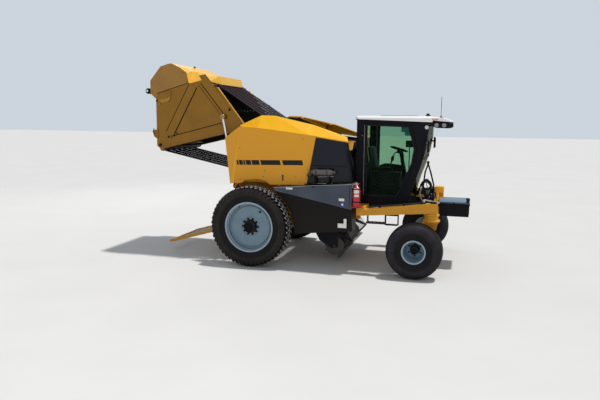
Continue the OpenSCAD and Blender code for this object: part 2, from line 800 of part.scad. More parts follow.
cab_rear = 1957;
pillar_x = 2095;
cab_outline = [[cab_rear, cab_z], [cab_rear, roof_z], [3319, roof_z], [3312, 2517],
               [3267, 2234], [3185, 1946], [3083, 1654], [3033, 1459], [3000, cab_z]];
door_opening = [[pillar_x, 1350], [pillar_x, 2835], [3004, 2813], [3089, 2513], [3133, 2325],
                [3088, 2038], [2983, 1785], [2870, 1490], [2800, 1350]];
door_hinge_y = cab_y + 16;
door_hinge_x = pillar_x - 10;
door_hinge_z = [1500, 2600];

module door_shape(inset) {
    offset(delta = -inset) polygon(door_opening);
}

module cab_floor() {
    place() color(dark)
        block(cab_rear, 2990, -cab_y + cab_t, cab_y - cab_t, cab_z, cab_z + 40);
}

module cab_frame() {
    place() color(black) {
        both_sides() {
            difference() {
                plate(cab_outline, cab_y - cab_t, cab_y);
                plate(door_opening, cab_y - cab_t - 1, cab_y + 1);
            }
            for (z = door_hinge_z) {
                block(door_hinge_x - 30, door_hinge_x, cab_y - 5, door_hinge_y, z - 30, z - 2);
                translate([door_hinge_x, door_hinge_y, z - 30])
                    cylinder(d = door_pin_d, h = 70);
            }
        }
        difference() {
            block(cab_rear, cab_rear + cab_t, -cab_y + cab_t, cab_y - cab_t, cab_z + 40, roof_z);
            block(cab_rear - 1, cab_rear + cab_t + 1, -700, 700, 1950, 2800);
        }
    }
}

// The roof's underside falls towards the front over the visor
function roof_under(x) = roof_z - max(0, x - 3340) * 0.09;

module cab_roof() {
    top = roof_z + roof_t;
    plan = [[1930, -830], [1975, -875], [3540, -875], [3690, -800], [3743, -600],
            [3743, 600], [3690, 800], [3540, 875], [1975, 875], [1930, 830]];
    side = [[1930, roof_z], [1930, top - 35], [1975, top - 4], [2300, top], [3250, top],
            [3560, top - 30], [3743, roof_z - 18], [3735, roof_under(3735)], [3340, roof_z]];
    front = [[-875, roof_z - 40], [-875, top - 40], [-820, top - 6], [-700, top + 5],
             [700, top + 5], [820, top - 6], [875, top - 40], [875, roof_z - 40]];
    place() color(white) intersection() {
        translate([0, 0, roof_z - 60]) linear_extrude(roof_t + 80) polygon(plan);
        plate(side, -900, 900);
        translate([1900, 0, 0]) rotate([90, 0, 90]) linear_extrude(1900) polygon(front);
    }
}

visor_x = 3712;

module cab_visor() {
    place() color(black)
        plate([[3345, roof_under(3345)], [visor_x, roof_under(visor_x)], [visor_x, 2745],
               [visor_x - 12, 2738], [3480, 2742], [3345, 2790]], -800, 800);
}

module cab_glass() {
    row = [[3325, 2770], [3318, 2517], [3273, 2234], [3191, 1946], [3089, 1654], [3039, 1459],
           [3006, cab_z]];
    place() color("lightgreen", 0.4) {
        ruled_sheet([for (p = row) [p[0], -cab_y, p[1]]], [for (p = row) [p[0], cab_y, p[1]]],
                    [glass_t, 0, 0]);
        block(cab_rear + 20, cab_rear + 20 + glass_t, -700, 700, 1950, 2800);
    }
}

module door(side) {
    y1 = cab_y;
    place() color(black) on_side(side) difference() {
        union() {
            translate([0, y1, 0]) rotate([90, 0, 0]) linear_extrude(cab_t) difference() {
                door_shape(door_gap);
                door_shape(door_gap + door_frame);
            }
            for (z = door_hinge_z) {
                translate([door_hinge_x, door_hinge_y, z]) cylinder(d = door_pin_d + 12, h = 40);
                block(door_hinge_x + 8, pillar_x + 40, y1 + 5, door_hinge_y + 6, z, z + 40);
                block(pillar_x + door_gap, pillar_x + 40, y1 - 4, y1 + 6, z, z + 40);
            }
        }
        for (z = door_hinge_z)
            translate([door_hinge_x, door_hinge_y, z - 10])
                cylinder(d = door_pin_d + 2 * pin_gap, h = 60);
    }
}

module door_glass(side) {
    place() color("lightgreen", 0.4) on_side(side) translate([0, cab_y - 20, 0])
        rotate([90, 0, 0]) linear_extrude(glass_t) door_shape(door_gap + door_frame);
}

module seat() {
    place() color(black) {
        block(2230, 2420, -150, 150, cab_z + 40, 1650);
        block(2180, 2640, -250, 250, 1650, 1770);
        plate([[2180, 1770], [2300, 1770], [2200, 2360], [2090, 2360]], -240, 240);
    }
}

module console() {
    place() color(dark) {
        block(2200, 2800, -560, -330, cab_z + 40, 1850);
        plate([[2860, cab_z + 40], [2960, cab_z + 40], [2760, 2250], [2700, 2240]], -60, 60);
        translate([2690, 0, 2290]) rotate([0, 16, 0]) rotate_extrude()
            translate([175, 0]) circle(d = 30);
        translate([2690, 0, 2290]) rotate([0, 16, 0])
            for (angle = [0, 120, 240]) rotate([0, 0, angle]) block(0, 175, -15, 15, -14, 14);
        translate([2690, 0, 2290]) rotate([0, 16, 0]) translate([0, 0, -90])
            cylinder(d = 60, h = 90);
    }
}

module mirrors() {
    place() color(black) both_sides() {
        block(3330, 3350, 940, 1120, 2280, 2520);
        block(3310, 3330, cab_y, 1060, 2430, 2450);
        block(3240, 3330, cab_y, cab_y + 20, 2425, 2455);
    }
}

module lamps() {
    place() color(white) both_sides() {
        for (y = [180, 420, 660])
            translate([visor_x, y, 2792]) rotate([0, 90, 0]) cylinder(d = 84, h = 16);
        for (x = [3470, 3610]) bar(x, 2795, 80, 800, 815);
    }
}

module beacon() {
    place() color("orange") both_sides()
        block(3390, 3500, 875, 893, roof_z - 2, roof_z + 28);
}

// Front end, steps and fittings

// A round tube through [x, y, z] points
module tube(points, d) {
    for (i = [0 : len(points) - 2]) {
        run = points[i + 1] - points[i];
        translate(points[i]) rotate([0, acos(run[2] / norm(run)), atan2(run[1], run[0])])
            cylinder(d = d, h = norm(run));
    }
    for (i = [1 : len(points) - 2]) translate(points[i]) sphere(d = d * 1.08);
}

module front_rail() {
    foot = cab_z - 3;
    place() color(black)
        tube([[3365, -820, foot], [3365, -820, foot + 90], [3270, -820, 1640],
              [3295, -820, 1900], [3345, -820, 2065], [3400, -820, 1900], [3465, -820, 1660],
              [3450, -820, foot + 90], [3450, -820, foot]], 30);
}

module front_box() {
    box_x = front_beam_x + beam_len + 70;
    box_front = 4150;
    place() color(dark) {
        block(box_x + 10, box_front - 15, -380, 380, 1000, 1250);
        plate([[box_x, 1250], [box_x, 1275], [box_x + 20, 1283], [box_front - 30, 1283],
               [box_front, 1262], [box_front, 1235], [box_front - 15, 1235],
               [box_front - 15, 1250]], -392, 392);
        block(box_x - 70, box_x + 10, -200, 200, 1160, 1240);
        translate([box_front - 45, -345, 1283]) cylinder(d1 = 60, d2 = 44, h = 55);
    }
}

module steps() {
    place() color(black) {
        on_side(-1) {
            for (x = [2260, 2600]) block(x, x + 30, arm_y - 15, arm_y, 931, 1160);
            block(2260, 2630, arm_y - 15, arm_y + 130, 931, 955);
        }
        for (x = [2250, 2550]) block(x, x + 30, arm_out, arm_out + 20, 430, 1240);
        for (z = [430, 660, 890]) block(2280, 2550, arm_out - 60, arm_out + 20, z, z + 30);
    }
}

module extinguisher() {
    place() color("red") on_side(-1) {
        block(2000, 2172, 1300, 1480, 1240, 1252);
        block(2160, 2172, 1300, 1480, 1240, 1275);
        translate([2082, 1390, 1252]) rotate_extrude()
            polygon([[0, 0], [66, 0], [75, 10], [75, 330], [62, 370], [30, 398], [22, 402],
                     [22, 430], [0, 430]]);
        block(2062, 2142, 1378, 1402, 1682, 1700);
        block(2050, 2062, 1378, 1402, 1660, 1730);
    }
}

// Pickup

module pickup_frame() {
    side_plate = [[lift_x - 60, 740], [lift_x - 40, 860], [lift_x + 60, 860], [1480, 700],
                  [1900, 520], [1880, 480], [1620, 560], [1620, 330], [1500, 300], [1250, 450]];
    place() color(yellow) difference() {
        union() {
            both_sides() {
                plate(side_plate, pickup_y, pickup_out);
                bar(lift_x, lift_z, lift_d, pickup_y, rail_y + 85);
            }
            bar(lift_x + 20, 790, 90, -pickup_y, pickup_y);
            bar(1890, 500, 40, -pickup_y, pickup_y);
        }
        both_sides() bar(reel_x, reel_z, reel_shaft_d + 2 * pin_gap, pickup_y - 5, pickup_out + 5);
    }
}

module pickup_reel() {
    bar_r = 170;
    tine_len = reel_d / 2 - bar_r;
    place() color(steel) translate([reel_x, 0, reel_z]) {
        rotate([90, 0, 0]) cylinder(d = reel_shaft_d, h = 2 * (pickup_out + 5), center = true);
        rotate([90, 0, 0]) cylinder(d = 150, h = 2 * reel_y, center = true);
        for (y = [-reel_y, -reel_y / 3, reel_y / 3, reel_y])
            translate([0, y - sign(y) * 6, 0]) rotate([90, 0, 0])
                cylinder(d = 2 * bar_r + 40, h = 12, center = true);
        for (i = [0 : tine_bars - 1]) rotate([0, i * 360 / tine_bars, 0]) {
            translate([bar_r, 0, 0]) rotate([90, 0, 0])
                cylinder(d = 36, h = 2 * reel_y - 10, center = true);
            for (k = [0 : tine_count - 1])
                translate([bar_r, (k - (tine_count - 1) / 2) * tine_pitch, 0])
                    rotate([0, 12, 0]) block(0, tine_len, -5, 5, -5, 5);
        }
    }
}

// Bale ramp

module along_ramp() {
    translate([ramp_x, 0, ramp_z]) rotate([0, 180 - ramp_slope, 0]) children();
}

module bale_ramp() {
    place() color(yellow) along_ramp() {
        both_sides() translate([0, ramp_y, 0]) block(0, ramp_len, -30, 30, -30, 30);
        rotate([90, 0, 0]) cylinder(d = 90, h = 2 * chamber_y - 10, center = true);
        rotate([90, 0, 0]) cylinder(d = ramp_d, h = 2 * chamber_out + 10, center = true);
        for (x = [700, ramp_len - 60]) block(x, x + 60, -ramp_y, ramp_y, -25, 25);
    }
}

rails();
cross_beams();
tie_lugs();
cab_rails();
arms();
drive_tyre(-1);  // drive_tyre_R
drive_tyre(1);  // drive_tyre_L
drive_rim(-1);  // drive_rim_R
drive_rim(1);  // drive_rim_L
caster_tyre(-1);  // caster_tyre_R
caster_tyre(1);  // caster_tyre_L
caster_rim(-1);  // caster_rim_R
caster_rim(1);  // caster_rim_L
caster_fork(-1);  // caster_fork_R
caster_fork(1);  // caster_fork_L
chamber_sides();
chamber_rollers();
chamber_front();
belt_spans();
belts_chamber();
belts_gate();
gate_sides();
gate_frame();
gate_rollers();
wrap_pod();
wrap_roller();
barrel(-1);  // barrel_R
barrel(1);  // barrel_L
rod(-1);  // rod_R
rod(1);  // rod_L
side_shield(-1);  // side_shield_R
side_shield(1);  // side_shield_L
engine_panels();
engine();
cooler();
muffler();
side_boxes();
cab_floor();
cab_frame();
cab_roof();
cab_visor();
cab_glass();
door(-1);  // door_R
door(1);  // door_L
door_glass(-1);  // door_glass_R
door_glass(1);  // door_glass_L
seat();
console();
mirrors();
lamps();
beacon();
front_box();
front_rail();
steps();
extinguisher();
pickup_frame();
pickup_reel();
bale_ramp();
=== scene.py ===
import math
from math import cos, pi, radians, sin

import bmesh
import bpy
from mathutils import Matrix, Vector


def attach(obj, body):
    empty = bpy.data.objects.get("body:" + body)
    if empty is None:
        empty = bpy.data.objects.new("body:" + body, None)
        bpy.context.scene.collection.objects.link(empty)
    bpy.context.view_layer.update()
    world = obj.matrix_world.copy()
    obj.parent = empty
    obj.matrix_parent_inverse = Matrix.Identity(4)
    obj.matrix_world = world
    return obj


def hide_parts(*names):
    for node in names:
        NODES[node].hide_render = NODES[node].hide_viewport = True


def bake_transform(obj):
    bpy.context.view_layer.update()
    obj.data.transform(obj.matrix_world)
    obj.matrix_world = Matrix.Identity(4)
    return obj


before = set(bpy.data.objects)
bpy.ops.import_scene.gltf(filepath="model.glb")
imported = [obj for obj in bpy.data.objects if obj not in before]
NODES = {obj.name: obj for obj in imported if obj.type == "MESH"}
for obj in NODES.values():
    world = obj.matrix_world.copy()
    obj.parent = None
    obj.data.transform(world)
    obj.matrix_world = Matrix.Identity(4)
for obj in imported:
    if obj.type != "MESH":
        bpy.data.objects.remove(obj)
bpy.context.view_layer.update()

# Pieces are placed in millimetres from the drive axle: forward (x), left (y) and up from the
# floor (z). MM and SHIFT take them to metres in the frame.
MM = 0.001
AXLE_X = -0.74
LIFT = 0.045
SHIFT = Vector((AXLE_X, 0, LIFT))
DRIVE = (-25, 1436, 760)
CASTER = (3190, 1384, 480)
AHEAD, OUT, UP = (1, 0, 0), (0, 1, 0), (0, 0, 1)


# Materials

class Shader:
    """Short ways to make and link the nodes of a material or a world."""

    def __init__(self, owner):
        owner.use_nodes = True
        self.owner, self.tree = owner, owner.node_tree

    def node(self, kind, **settings):
        made = self.tree.nodes.new("ShaderNode" + kind)
        for key, value in settings.items():
            setattr(made, key, value)
        return made

    def put(self, socket, value):
        """Link an output to the socket, or set its number or colour."""
        if hasattr(value, "is_output"):
            self.tree.links.new(value, socket)
        else:
            socket.default_value = (*value, 1) if isinstance(value, tuple) else value

    def fill(self, node, inputs):
        for key, value in inputs.items():
            self.put(node.inputs[key], value)
        return node

    def math(self, op, *values):
        return self.fill(self.node("Math", operation=op), dict(enumerate(values))).outputs[0]

    def add(self, a, b):
        return self.math("ADD", a, b)

    def sub(self, a, b):
        return self.math("SUBTRACT", a, b)

    def mul(self, a, b):
        return self.math("MULTIPLY", a, b)

    def top(self, a, b):
        return self.math("MAXIMUM", a, b)

    def size(self, a):
        return self.math("ABSOLUTE", a)

    def span(self, value, first, last, lo=0.0, hi=1.0):
        """The value's way from first to last, as a number from lo to hi."""
        return self.fill(self.node("MapRange"), {
            "Value": value, "From Min": first, "From Max": last, "To Min": lo, "To Max": hi,
        }).outputs["Result"]

    def mix(self, factor, a, b):
        made = self.node("Mix", data_type="RGBA")
        for socket, value in zip((made.inputs["Factor"], made.inputs["A"], made.inputs["B"]),
                                 (factor, a, b)):
            self.put(socket, value)
        return made.outputs["Result"]

    def mix_shader(self, factor, a, b):
        return self.fill(self.node("MixShader"), {0: factor, 1: a, 2: b}).outputs[0]

    def ramp(self, value, first, last):
        made = self.fill(self.node("ValToRGB"), {"Fac": value})
        for element, (position, colour) in zip(made.color_ramp.elements, (first, last)):
            element.position, element.color = position, (*colour, 1)
        return made.outputs["Color"]

    def split(self, vector):
        return self.fill(self.node("SeparateXYZ"), {0: vector}).outputs


class Look(Shader):
    """A new material, whose textures lie in the object's own places."""

    def __init__(self, name):
        super().__init__(bpy.data.materials.new(name))
        self.at = self.stretched((1, 1, 1))

    def stretched(self, scale):
        mapping = self.node("Mapping")
        mapping.inputs["Scale"].default_value = scale
        self.put(mapping.inputs["Vector"], self.node("TexCoord").outputs["Object"])
        return mapping.outputs["Vector"]

    def noise(self, scale, detail=4.0, rough=0.55, at=None):
        return self.fill(self.node("TexNoise"), {
            "Vector": at or self.at, "Scale": scale, "Detail": detail, "Roughness": rough,
        }).outputs["Fac"]

    def facing(self):
        return self.split(self.node("NewGeometry").outputs["Normal"])

    def from_axle(self, centre):
        """Distance from a wheel's axle line."""
        where = self.split(self.at)
        dx = self.sub(where["X"], centre[0] * MM + AXLE_X)
        dz = self.sub(where["Z"], centre[2] * MM + LIFT)
        return self.math("SQRT", self.add(self.mul(dx, dx), self.mul(dz, dz)))

    def surface(self, base, rough, spec=0.5, **others):
        shader = self.tree.nodes["Principled BSDF"]
        self.fill(shader, {"Base Color": base, "Roughness": rough, "Specular IOR Level": spec})
        return self.fill(shader, {key.replace("_", " ").title(): value
                                  for key, value in others.items()})

    def bump(self, height, strength, distance=0.002, edge=0.0):
        """Bumps from a height, on edges that look rounded where edge is their radius."""
        made = self.fill(self.node("Bump"),
                         {"Strength": strength, "Distance": distance, "Height": height})
        if edge:
            bevel = self.fill(self.node("Bevel", samples=4), {"Radius": edge})
            self.put(made.inputs["Normal"], bevel.outputs["Normal"])
        self.put(self.tree.nodes["Principled BSDF"].inputs["Normal"], made.outputs["Normal"])
        return self.owner


DUST = (0.42, 0.36, 0.27)
EDGE = 0.004


def tinted(colour, amount):
    return tuple(min(1.0, c * amount) for c in colour)


def paint(name, colour, rough=0.35, metal=0.0, coat=0.0, vary=0.1, dust=0.25, dust_top=1.3,
          grain=220.0, grain_bump=0.06, spec=0.5, painted_side_shade=None, painted_inner_shade=None, painted_shade_below=None):
    """Painted or moulded surface: slow colour drift, speckle, dust low down, rounded edges.

    The side colour (colour, amount, first, last) is painted shade on faces whose |normal y| goes
    from first to last, the inner colour is painted shade on faces that look inside or forward,
    and the colour under a line (colour, x, z, slope) is painted shade on the part under a sloping
    line.
    """
    g = Look(name)
    slow, fine = g.noise(2.3, 5.0), g.noise(38.0, 6.0, 0.65)
    dark = tinted(colour, 1 - vary)
    base = g.ramp(slow, (0.3, dark), (0.7, tinted(colour, 1 + vary)))
    base = g.mix(g.span(fine, 0.52, 0.75, 0.0, 0.22), base, dark)
    facing, where = g.facing(), g.split(g.at)
    # Painted shade: faces turned sideways take a darker colour
    if painted_side_shade:
        overlay, most, first, last = painted_side_shade
        amount = g.span(g.size(facing["Y"]), first, last, 0.0, most)
        base = g.mix(g.mul(amount, g.span(slow, 0.3, 0.7, 0.85, 1.0)), base, overlay)
    # Painted shade: faces that look inside or forward take a near-black colour
    if painted_inner_shade:
        inward = g.span(g.mul(facing["Y"], where["Y"]), -0.2, -0.5)
        base = g.mix(g.top(inward, g.span(facing["X"], 0.3, 0.6)), base, painted_inner_shade)
    # Painted shade: the part under the sloping line takes a near-black colour
    if painted_shade_below:
        under, x, z, slope = painted_shade_below
        line = g.add(g.mul(g.sub(where["X"], x + AXLE_X), slope), z + LIFT)
        base = g.mix(g.span(g.sub(where["Z"], line), 0.0, -0.006), base, under)
    patch = g.span(fine, 0.35, 0.7, 0.2, 1.0)
    low = g.mul(g.mul(g.span(where["Z"], dust_top, 0.2), patch), dust)
    flat = g.mul(g.span(facing["Z"], 0.6, 1.0, 0.0, dust * 0.5), patch)
    amount = g.top(low, flat)
    wear = g.span(fine, 0.3, 0.8, rough * 0.85, min(1.0, rough * 1.25))
    g.surface(g.mix(amount, base, DUST), g.add(wear, g.mul(amount, 0.35)), spec,
              metallic=metal, coat_weight=coat, coat_roughness=0.12)
    return g.bump(g.noise(grain, 3.0), grain_bump, 0.001, EDGE)


# The darker side colours of the yellow paints that follow are painted shade
YELLOW = paint("yellow_enamel", (0.93, 0.47, 0.006), 0.42, coat=0.03, vary=0.04, dust=0.03,
               spec=0.22, painted_side_shade=((0.8, 0.36, 0.03), 1.0, 0.75, 0.95))
YELLOW_POD = paint("yellow_pod", (0.88, 0.49, 0.05), 0.42, coat=0.1, vary=0.06, dust=0.12,
                   dust_top=1.0, spec=0.3, painted_side_shade=((0.33, 0.165, 0.038), 1.0, 0.95, 0.99))
# The gate yellow's near-black inner colour is painted shade
YELLOW_GATE = paint("yellow_gate", (0.78, 0.4, 0.025), 0.5, vary=0.12, dust=0.08, dust_top=1.0,
                    spec=0.25, painted_side_shade=((0.26, 0.122, 0.014), 1.0, 0.6, 0.95),
                    painted_inner_shade=(0.01, 0.008, 0.007))
FRAME_YELLOW = paint("yellow_frame", (0.82, 0.4, 0.012), 0.42, coat=0.05, vary=0.1, dust=0.12,
                     dust_top=1.5, spec=0.25, painted_side_shade=((0.6, 0.27, 0.015), 1.0, 0.6, 0.9))
HATCH_YELLOW = paint("yellow_hatch", (0.5, 0.23, 0.022), 0.5, vary=0.15, dust=0.05, spec=0.3)
# Dark brown of the strips beside the gate ribs: painted shadow
RIB_SHADOW = paint("painted_rib_shadow", (0.055, 0.026, 0.006), 0.8, vary=0.3, dust=0.1, spec=0.1)
DARK = paint("dark_panel", (0.03, 0.034, 0.042), 0.45, vary=0.12, dust=0.08, spec=0.2)
# The side boxes' near-black lower part is painted shade
BOX_DARK = paint("box_panel", (0.072, 0.084, 0.112), 0.4, vary=0.14, dust=0.04, spec=0.14,
                 painted_shade_below=((0.006, 0.005, 0.004), 0.43, 1.508, -0.1976))
GLOSS_DARK = paint("gloss_panel", (0.005, 0.008, 0.014), 0.2, dust=0.0, spec=0.26)
BLACK = paint("black_paint", (0.004, 0.004, 0.008), 0.42, vary=0.2, dust=0.02, spec=0.1)
BLACK_PLASTIC = paint("black_plastic", (0.006, 0.006, 0.009), 0.55, vary=0.2, dust=0.03,
                      grain=500.0, grain_bump=0.25, spec=0.12)
WHITE = paint("white_roof", (0.9, 0.9, 0.9), 0.3, coat=0.2, vary=0.01, dust=0.0)
RED = paint("red_enamel", (0.46, 0.008, 0.016), 0.28, coat=0.3, vary=0.08, dust=0.04)
STEEL = paint("bare_steel", (0.36, 0.35, 0.33), 0.42, metal=0.7, vary=0.2, dust=0.2,
              dust_top=1.6)
ROLLER = paint("worn_roller", (0.045, 0.042, 0.04), 0.45, metal=0.5, vary=0.3, dust=0.1,
               dust_top=1.6, spec=0.2)
CHROME = paint("chrome_rod", (0.66, 0.66, 0.67), 0.16, metal=1.0, vary=0.05, dust=0.05)
IRON = paint("engine_iron", (0.04, 0.04, 0.043), 0.6, metal=0.3, vary=0.3, dust=0.2,
             dust_top=2.4, grain=60.0, grain_bump=0.3, spec=0.3)
ZINC = paint("muffler_shell", (0.11, 0.095, 0.09), 0.34, metal=0.7, coat=0.25, vary=0.16,
             dust=0.04, grain=90.0)
BLUE_LID = paint("blue_grey_lid", (0.09, 0.165, 0.25), 0.34, coat=0.05, dust=0.03, spec=0.3)
HUB_BLACK = paint("hub_black", (0.004, 0.004, 0.005), 0.55, vary=0.2, dust=0.02, spec=0.08)
MIRROR = paint("mirror_face", (0.75, 0.77, 0.79), 0.04, metal=1.0, vary=0.03, dust=0.0)
SHADE = paint("sun_shade", (0.04, 0.17, 0.22), coat=0.3, dust=0.0)
WHITE_PLATE = paint("white_plate", (0.8, 0.8, 0.78), coat=0.3, vary=0.03, dust=0.0)
BLUE_PLATE = paint("blue_plate", (0.015, 0.035, 0.16), coat=0.3, vary=0.05, dust=0.0)
HOSE = paint("hose_rubber", (0.007, 0.007, 0.008), 0.5, vary=0.2, dust=0.08, grain=900.0,
             grain_bump=0.3, spec=0.3)
GREY_HOSE = paint("hose_sleeve", (0.42, 0.41, 0.4), 0.45, vary=0.2, dust=0.1, grain=700.0,
                  grain_bump=0.4)
STRIPE = paint("stripe_black", (0.006, 0.006, 0.008), 0.4, vary=0.05, dust=0.0, spec=0.25)


def rim_material(name, colour, flange, centre, inner, hub):
    """Wheel paint: light flange, dustier disc, black hub inside a radius round the axle."""
    g = Look(name)
    r = g.from_axle(centre)
    slow, fine = g.noise(6.0, 6.0, 0.6), g.noise(55.0, 5.0)
    base = g.ramp(slow, (0.3, tinted(colour, 0.82)), (0.7, colour))
    base = g.mix(g.span(fine, 0.45, 0.8, 0.0, 0.18), base, DUST)
    base = g.mix(g.span(r, inner, inner + 0.012), base, flange)
    black = g.mix(g.span(fine, 0.5, 0.8, 0.0, 0.06), (0.006, 0.006, 0.007), DUST)
    g.surface(g.mix(g.span(r, hub, hub + 0.004), black, base),
              g.span(fine, 0.3, 0.8, 0.3, 0.5), 0.3)
    return g.bump(g.noise(160.0, 3.0), 0.06, 0.001, EDGE)


RIM = rim_material("drive_rim_paint", (0.19, 0.29, 0.37), (0.33, 0.41, 0.47), DRIVE, 0.455,
                   0.138)
CASTER_RIM = rim_material("caster_rim_paint", (0.27, 0.42, 0.54), (0.33, 0.41, 0.46), CASTER,
                          0.196, 0.098)


def tyre_material(name, centre, tip, depth, sidewall, lug, shoulder, grooves=()):
    """Rubber with pale lug tops, dark grooves between blocks and a shoulder band, stronger on
    faces turned up: dust on the drive tyre, painted sheen on the caster tyre.

    lug and shoulder are colours, and grooves are the places of grooves along the axle.
    """
    g = Look(name)
    r = g.from_axle(centre)
    slow, fine = g.noise(7.0, 6.0, 0.6), g.noise(60.0, 6.0, 0.7)
    rubber = g.ramp(slow, (0.3, (0.004, 0.004, 0.005)), (0.75, (0.009, 0.008, 0.009)))
    # Shoulder band, stronger on faces turned up: dust on the drive tyre, painted sheen on the
    # caster tyre
    overlay = g.mul(g.span(r, sidewall, sidewall + 0.05),
                 g.span(r, tip - depth * 1.3, tip - depth * 0.9, 1.0, 0.0))
    overlay = g.mul(g.mul(overlay, g.span(g.facing()["Z"], -0.2, 0.35, 0.45, 1.0)),
                 g.span(slow, 0.35, 0.65, 0.55, 1.0))
    tread = g.mul(g.span(r, tip - depth * 0.45, tip - depth * 0.15),
                  g.span(fine, 0.3, 0.6, 0.5, 1.0))
    across = g.size(g.split(g.at)["Y"])
    for groove in grooves:
        tread = g.mul(tread, g.span(g.size(g.sub(across, groove)), 0.016, 0.022))
    g.surface(g.mix(tread, g.mix(overlay, rubber, shoulder), lug),
              g.span(fine, 0.3, 0.8, 0.5, 0.8), 0.16)
    # Moulded rings between the rim and the shoulder
    gate = g.mul(g.span(r, sidewall - 0.02, sidewall),
                 g.span(r, sidewall + 0.1, sidewall + 0.12, 1.0, 0.0))
    rings = g.mul(g.math("SINE", g.mul(r, 420.0)), gate)
    return g.bump(g.add(rings, g.mul(fine, 0.6)), 0.45, 0.002, 0.006)


TYRE = tyre_material("drive_tyre_rubber", DRIVE, 0.805, 0.05, 0.6, (0.42, 0.4, 0.39),
                     (0.04, 0.03, 0.027), (1.32, 1.396, 1.476, 1.552))
# The caster tyre's lighter bluish shoulder colour is a painted sheen
CASTER_TYRE = tyre_material("caster_tyre_rubber", CASTER, 0.56, 0.06, 0.33,
                            (0.07, 0.065, 0.07), (0.036, 0.032, 0.04))


def belt_material(name):
    """Worn rubber belting with pale lines along the belts; the upper belts are lighter as painted
    light.
    """
    g = Look(name)
    slow = g.noise(5.0, 6.0)
    weave = g.noise(160.0, 3.0, at=g.stretched((1.0, 6.0, 1.0)))
    where = g.split(g.at)
    base = g.ramp(slow, (0.3, (0.002, 0.002, 0.003)), (0.7, (0.005, 0.004, 0.006)))
    # Painted light and shade: belts above 2.7 m take a lighter colour than the near-black lower
    # belts
    high = g.span(where["Z"], 2.7, 2.8)
    base = g.mix(high, base, (0.026, 0.019, 0.024))
    base = g.mix(g.span(weave, 0.55, 0.8, 0.0, 0.2), base, (0.02, 0.018, 0.02))

    # Pale lines along the belts at a given y
    def pale_line(y, strength):
        return g.span(g.size(g.sub(where["Y"], y)), 0.005, 0.008, strength, 0.0)

    edge = pale_line(0.66, 0.8)
    for y in (-0.7, 0.0):
        edge = g.top(edge, g.mul(g.sub(1.0, high), pale_line(y, 0.25)))
    g.surface(g.mix(edge, base, (0.42, 0.41, 0.42)), 0.8, 0.04)
    return g.bump(weave, 0.4)


BELT = belt_material("belt_rubber")


def glass_material(name, through, tint, alpha):
    """Tinted glass: what lies behind shows in the colour through, under a thin film of tint."""
    g = Look(name)
    haze = g.noise(3.0, 4.0)
    overlay = g.surface(g.ramp(haze, (0.35, tint), (0.7, tinted(tint, 1.25))), 0.02, 0.3)
    clear = g.fill(g.node("BsdfTransparent"), {"Color": through})
    both = g.mix_shader(g.span(haze, 0.3, 0.7, alpha * 0.9, alpha * 1.1), clear.outputs[0],
                        overlay.outputs[0])
    g.put(g.tree.nodes["Material Output"].inputs["Surface"], both)
    return g.owner


GLASS = glass_material("tinted_glass", (0.71, 0.86, 0.76), (0.01, 0.03, 0.018), 0.08)
SCREEN_GLASS = glass_material("windscreen_glass", (0.84, 0.84, 0.69), (0.12, 0.13, 0.07), 0.12)


def fabric_material(name, colour):
    g = Look(name)
    bands = [g.fill(g.node("TexWave", bands_direction=way),
                    {"Scale": 180.0, "Vector": g.at}).outputs["Fac"] for way in "XY"]
    weave = g.mul(*bands)
    base = g.ramp(g.noise(12.0, 5.0), (0.3, tinted(colour, 0.75)), (0.7, colour))
    g.surface(g.mix(g.span(weave, 0.2, 0.9, 0.0, 0.35), base, tinted(colour, 1.9)), 0.9,
              sheen_weight=0.4, sheen_roughness=0.5)
    return g.bump(weave, 0.5, 0.001)


SEAT_CLOTH = fabric_material("seat_cloth", (0.045, 0.05, 0.06))


def lens_material(name, colour):
    g = Look(name)
    cells = g.fill(g.node("TexVoronoi"), {"Scale": 90.0, "Vector": g.at}).outputs["Distance"]
    g.surface(g.ramp(cells, (0.0, tinted(colour, 0.8)), (0.6, colour)), 0.08,
              coat_weight=1.0, coat_roughness=0.03)
    return g.bump(cells, 0.3)


LENS = lens_material("lamp_lens", (0.22, 0.23, 0.24))
PALE_LENS = lens_material("pale_lens", (0.6, 0.62, 0.6))
AMBER = lens_material("amber_lens", (0.85, 0.28, 0.015))
RED_LENS = lens_material("red_lens", (0.45, 0.01, 0.01))

# The solids that each material covers, without their side
FINISH = (
    (FRAME_YELLOW, "rails cross_beams tie_lugs arms caster_fork bale_ramp"),
    (YELLOW, "side_shield"), (YELLOW_POD, "wrap_pod"),
    (YELLOW_GATE, "chamber_sides gate_sides gate_frame"),
    # pickup_frame takes black paint as painted shade of the dark space under the machine
    (BLACK, "cab_rails wrap_roller barrel cooler cab_frame door front_rail steps pickup_frame"),
    (BLACK_PLASTIC, "cab_floor cab_visor console mirrors front_box"),
    (ROLLER, "chamber_rollers gate_rollers pickup_reel"),
    (BELT, "belts_chamber belt_spans belts_gate"),
    (DARK, "chamber_front"), (GLOSS_DARK, "engine_panels"), (BOX_DARK, "side_boxes"),
    (TYRE, "drive_tyre"), (RIM, "drive_rim"), (CASTER_TYRE, "caster_tyre"),
    (CASTER_RIM, "caster_rim"), (CHROME, "rod"), (IRON, "engine"), (ZINC, "muffler"),
    (WHITE, "cab_roof"), (SCREEN_GLASS, "cab_glass"), (GLASS, "door_glass"),
    (SEAT_CLOTH, "seat"), (LENS, "lamps"), (AMBER, "beacon"), (RED, "extinguisher"),
)
COVER = {node: mat for mat, nodes in FINISH for node in nodes.split()}
for node, obj in NODES.items():
    key = node[:-2] if node.endswith(("_R", "_L")) else node
    obj.data.materials.clear()
    obj.data.materials.append(COVER[key])
    for poly in obj.data.polygons:
        poly.material_index = 0


# Mesh tools

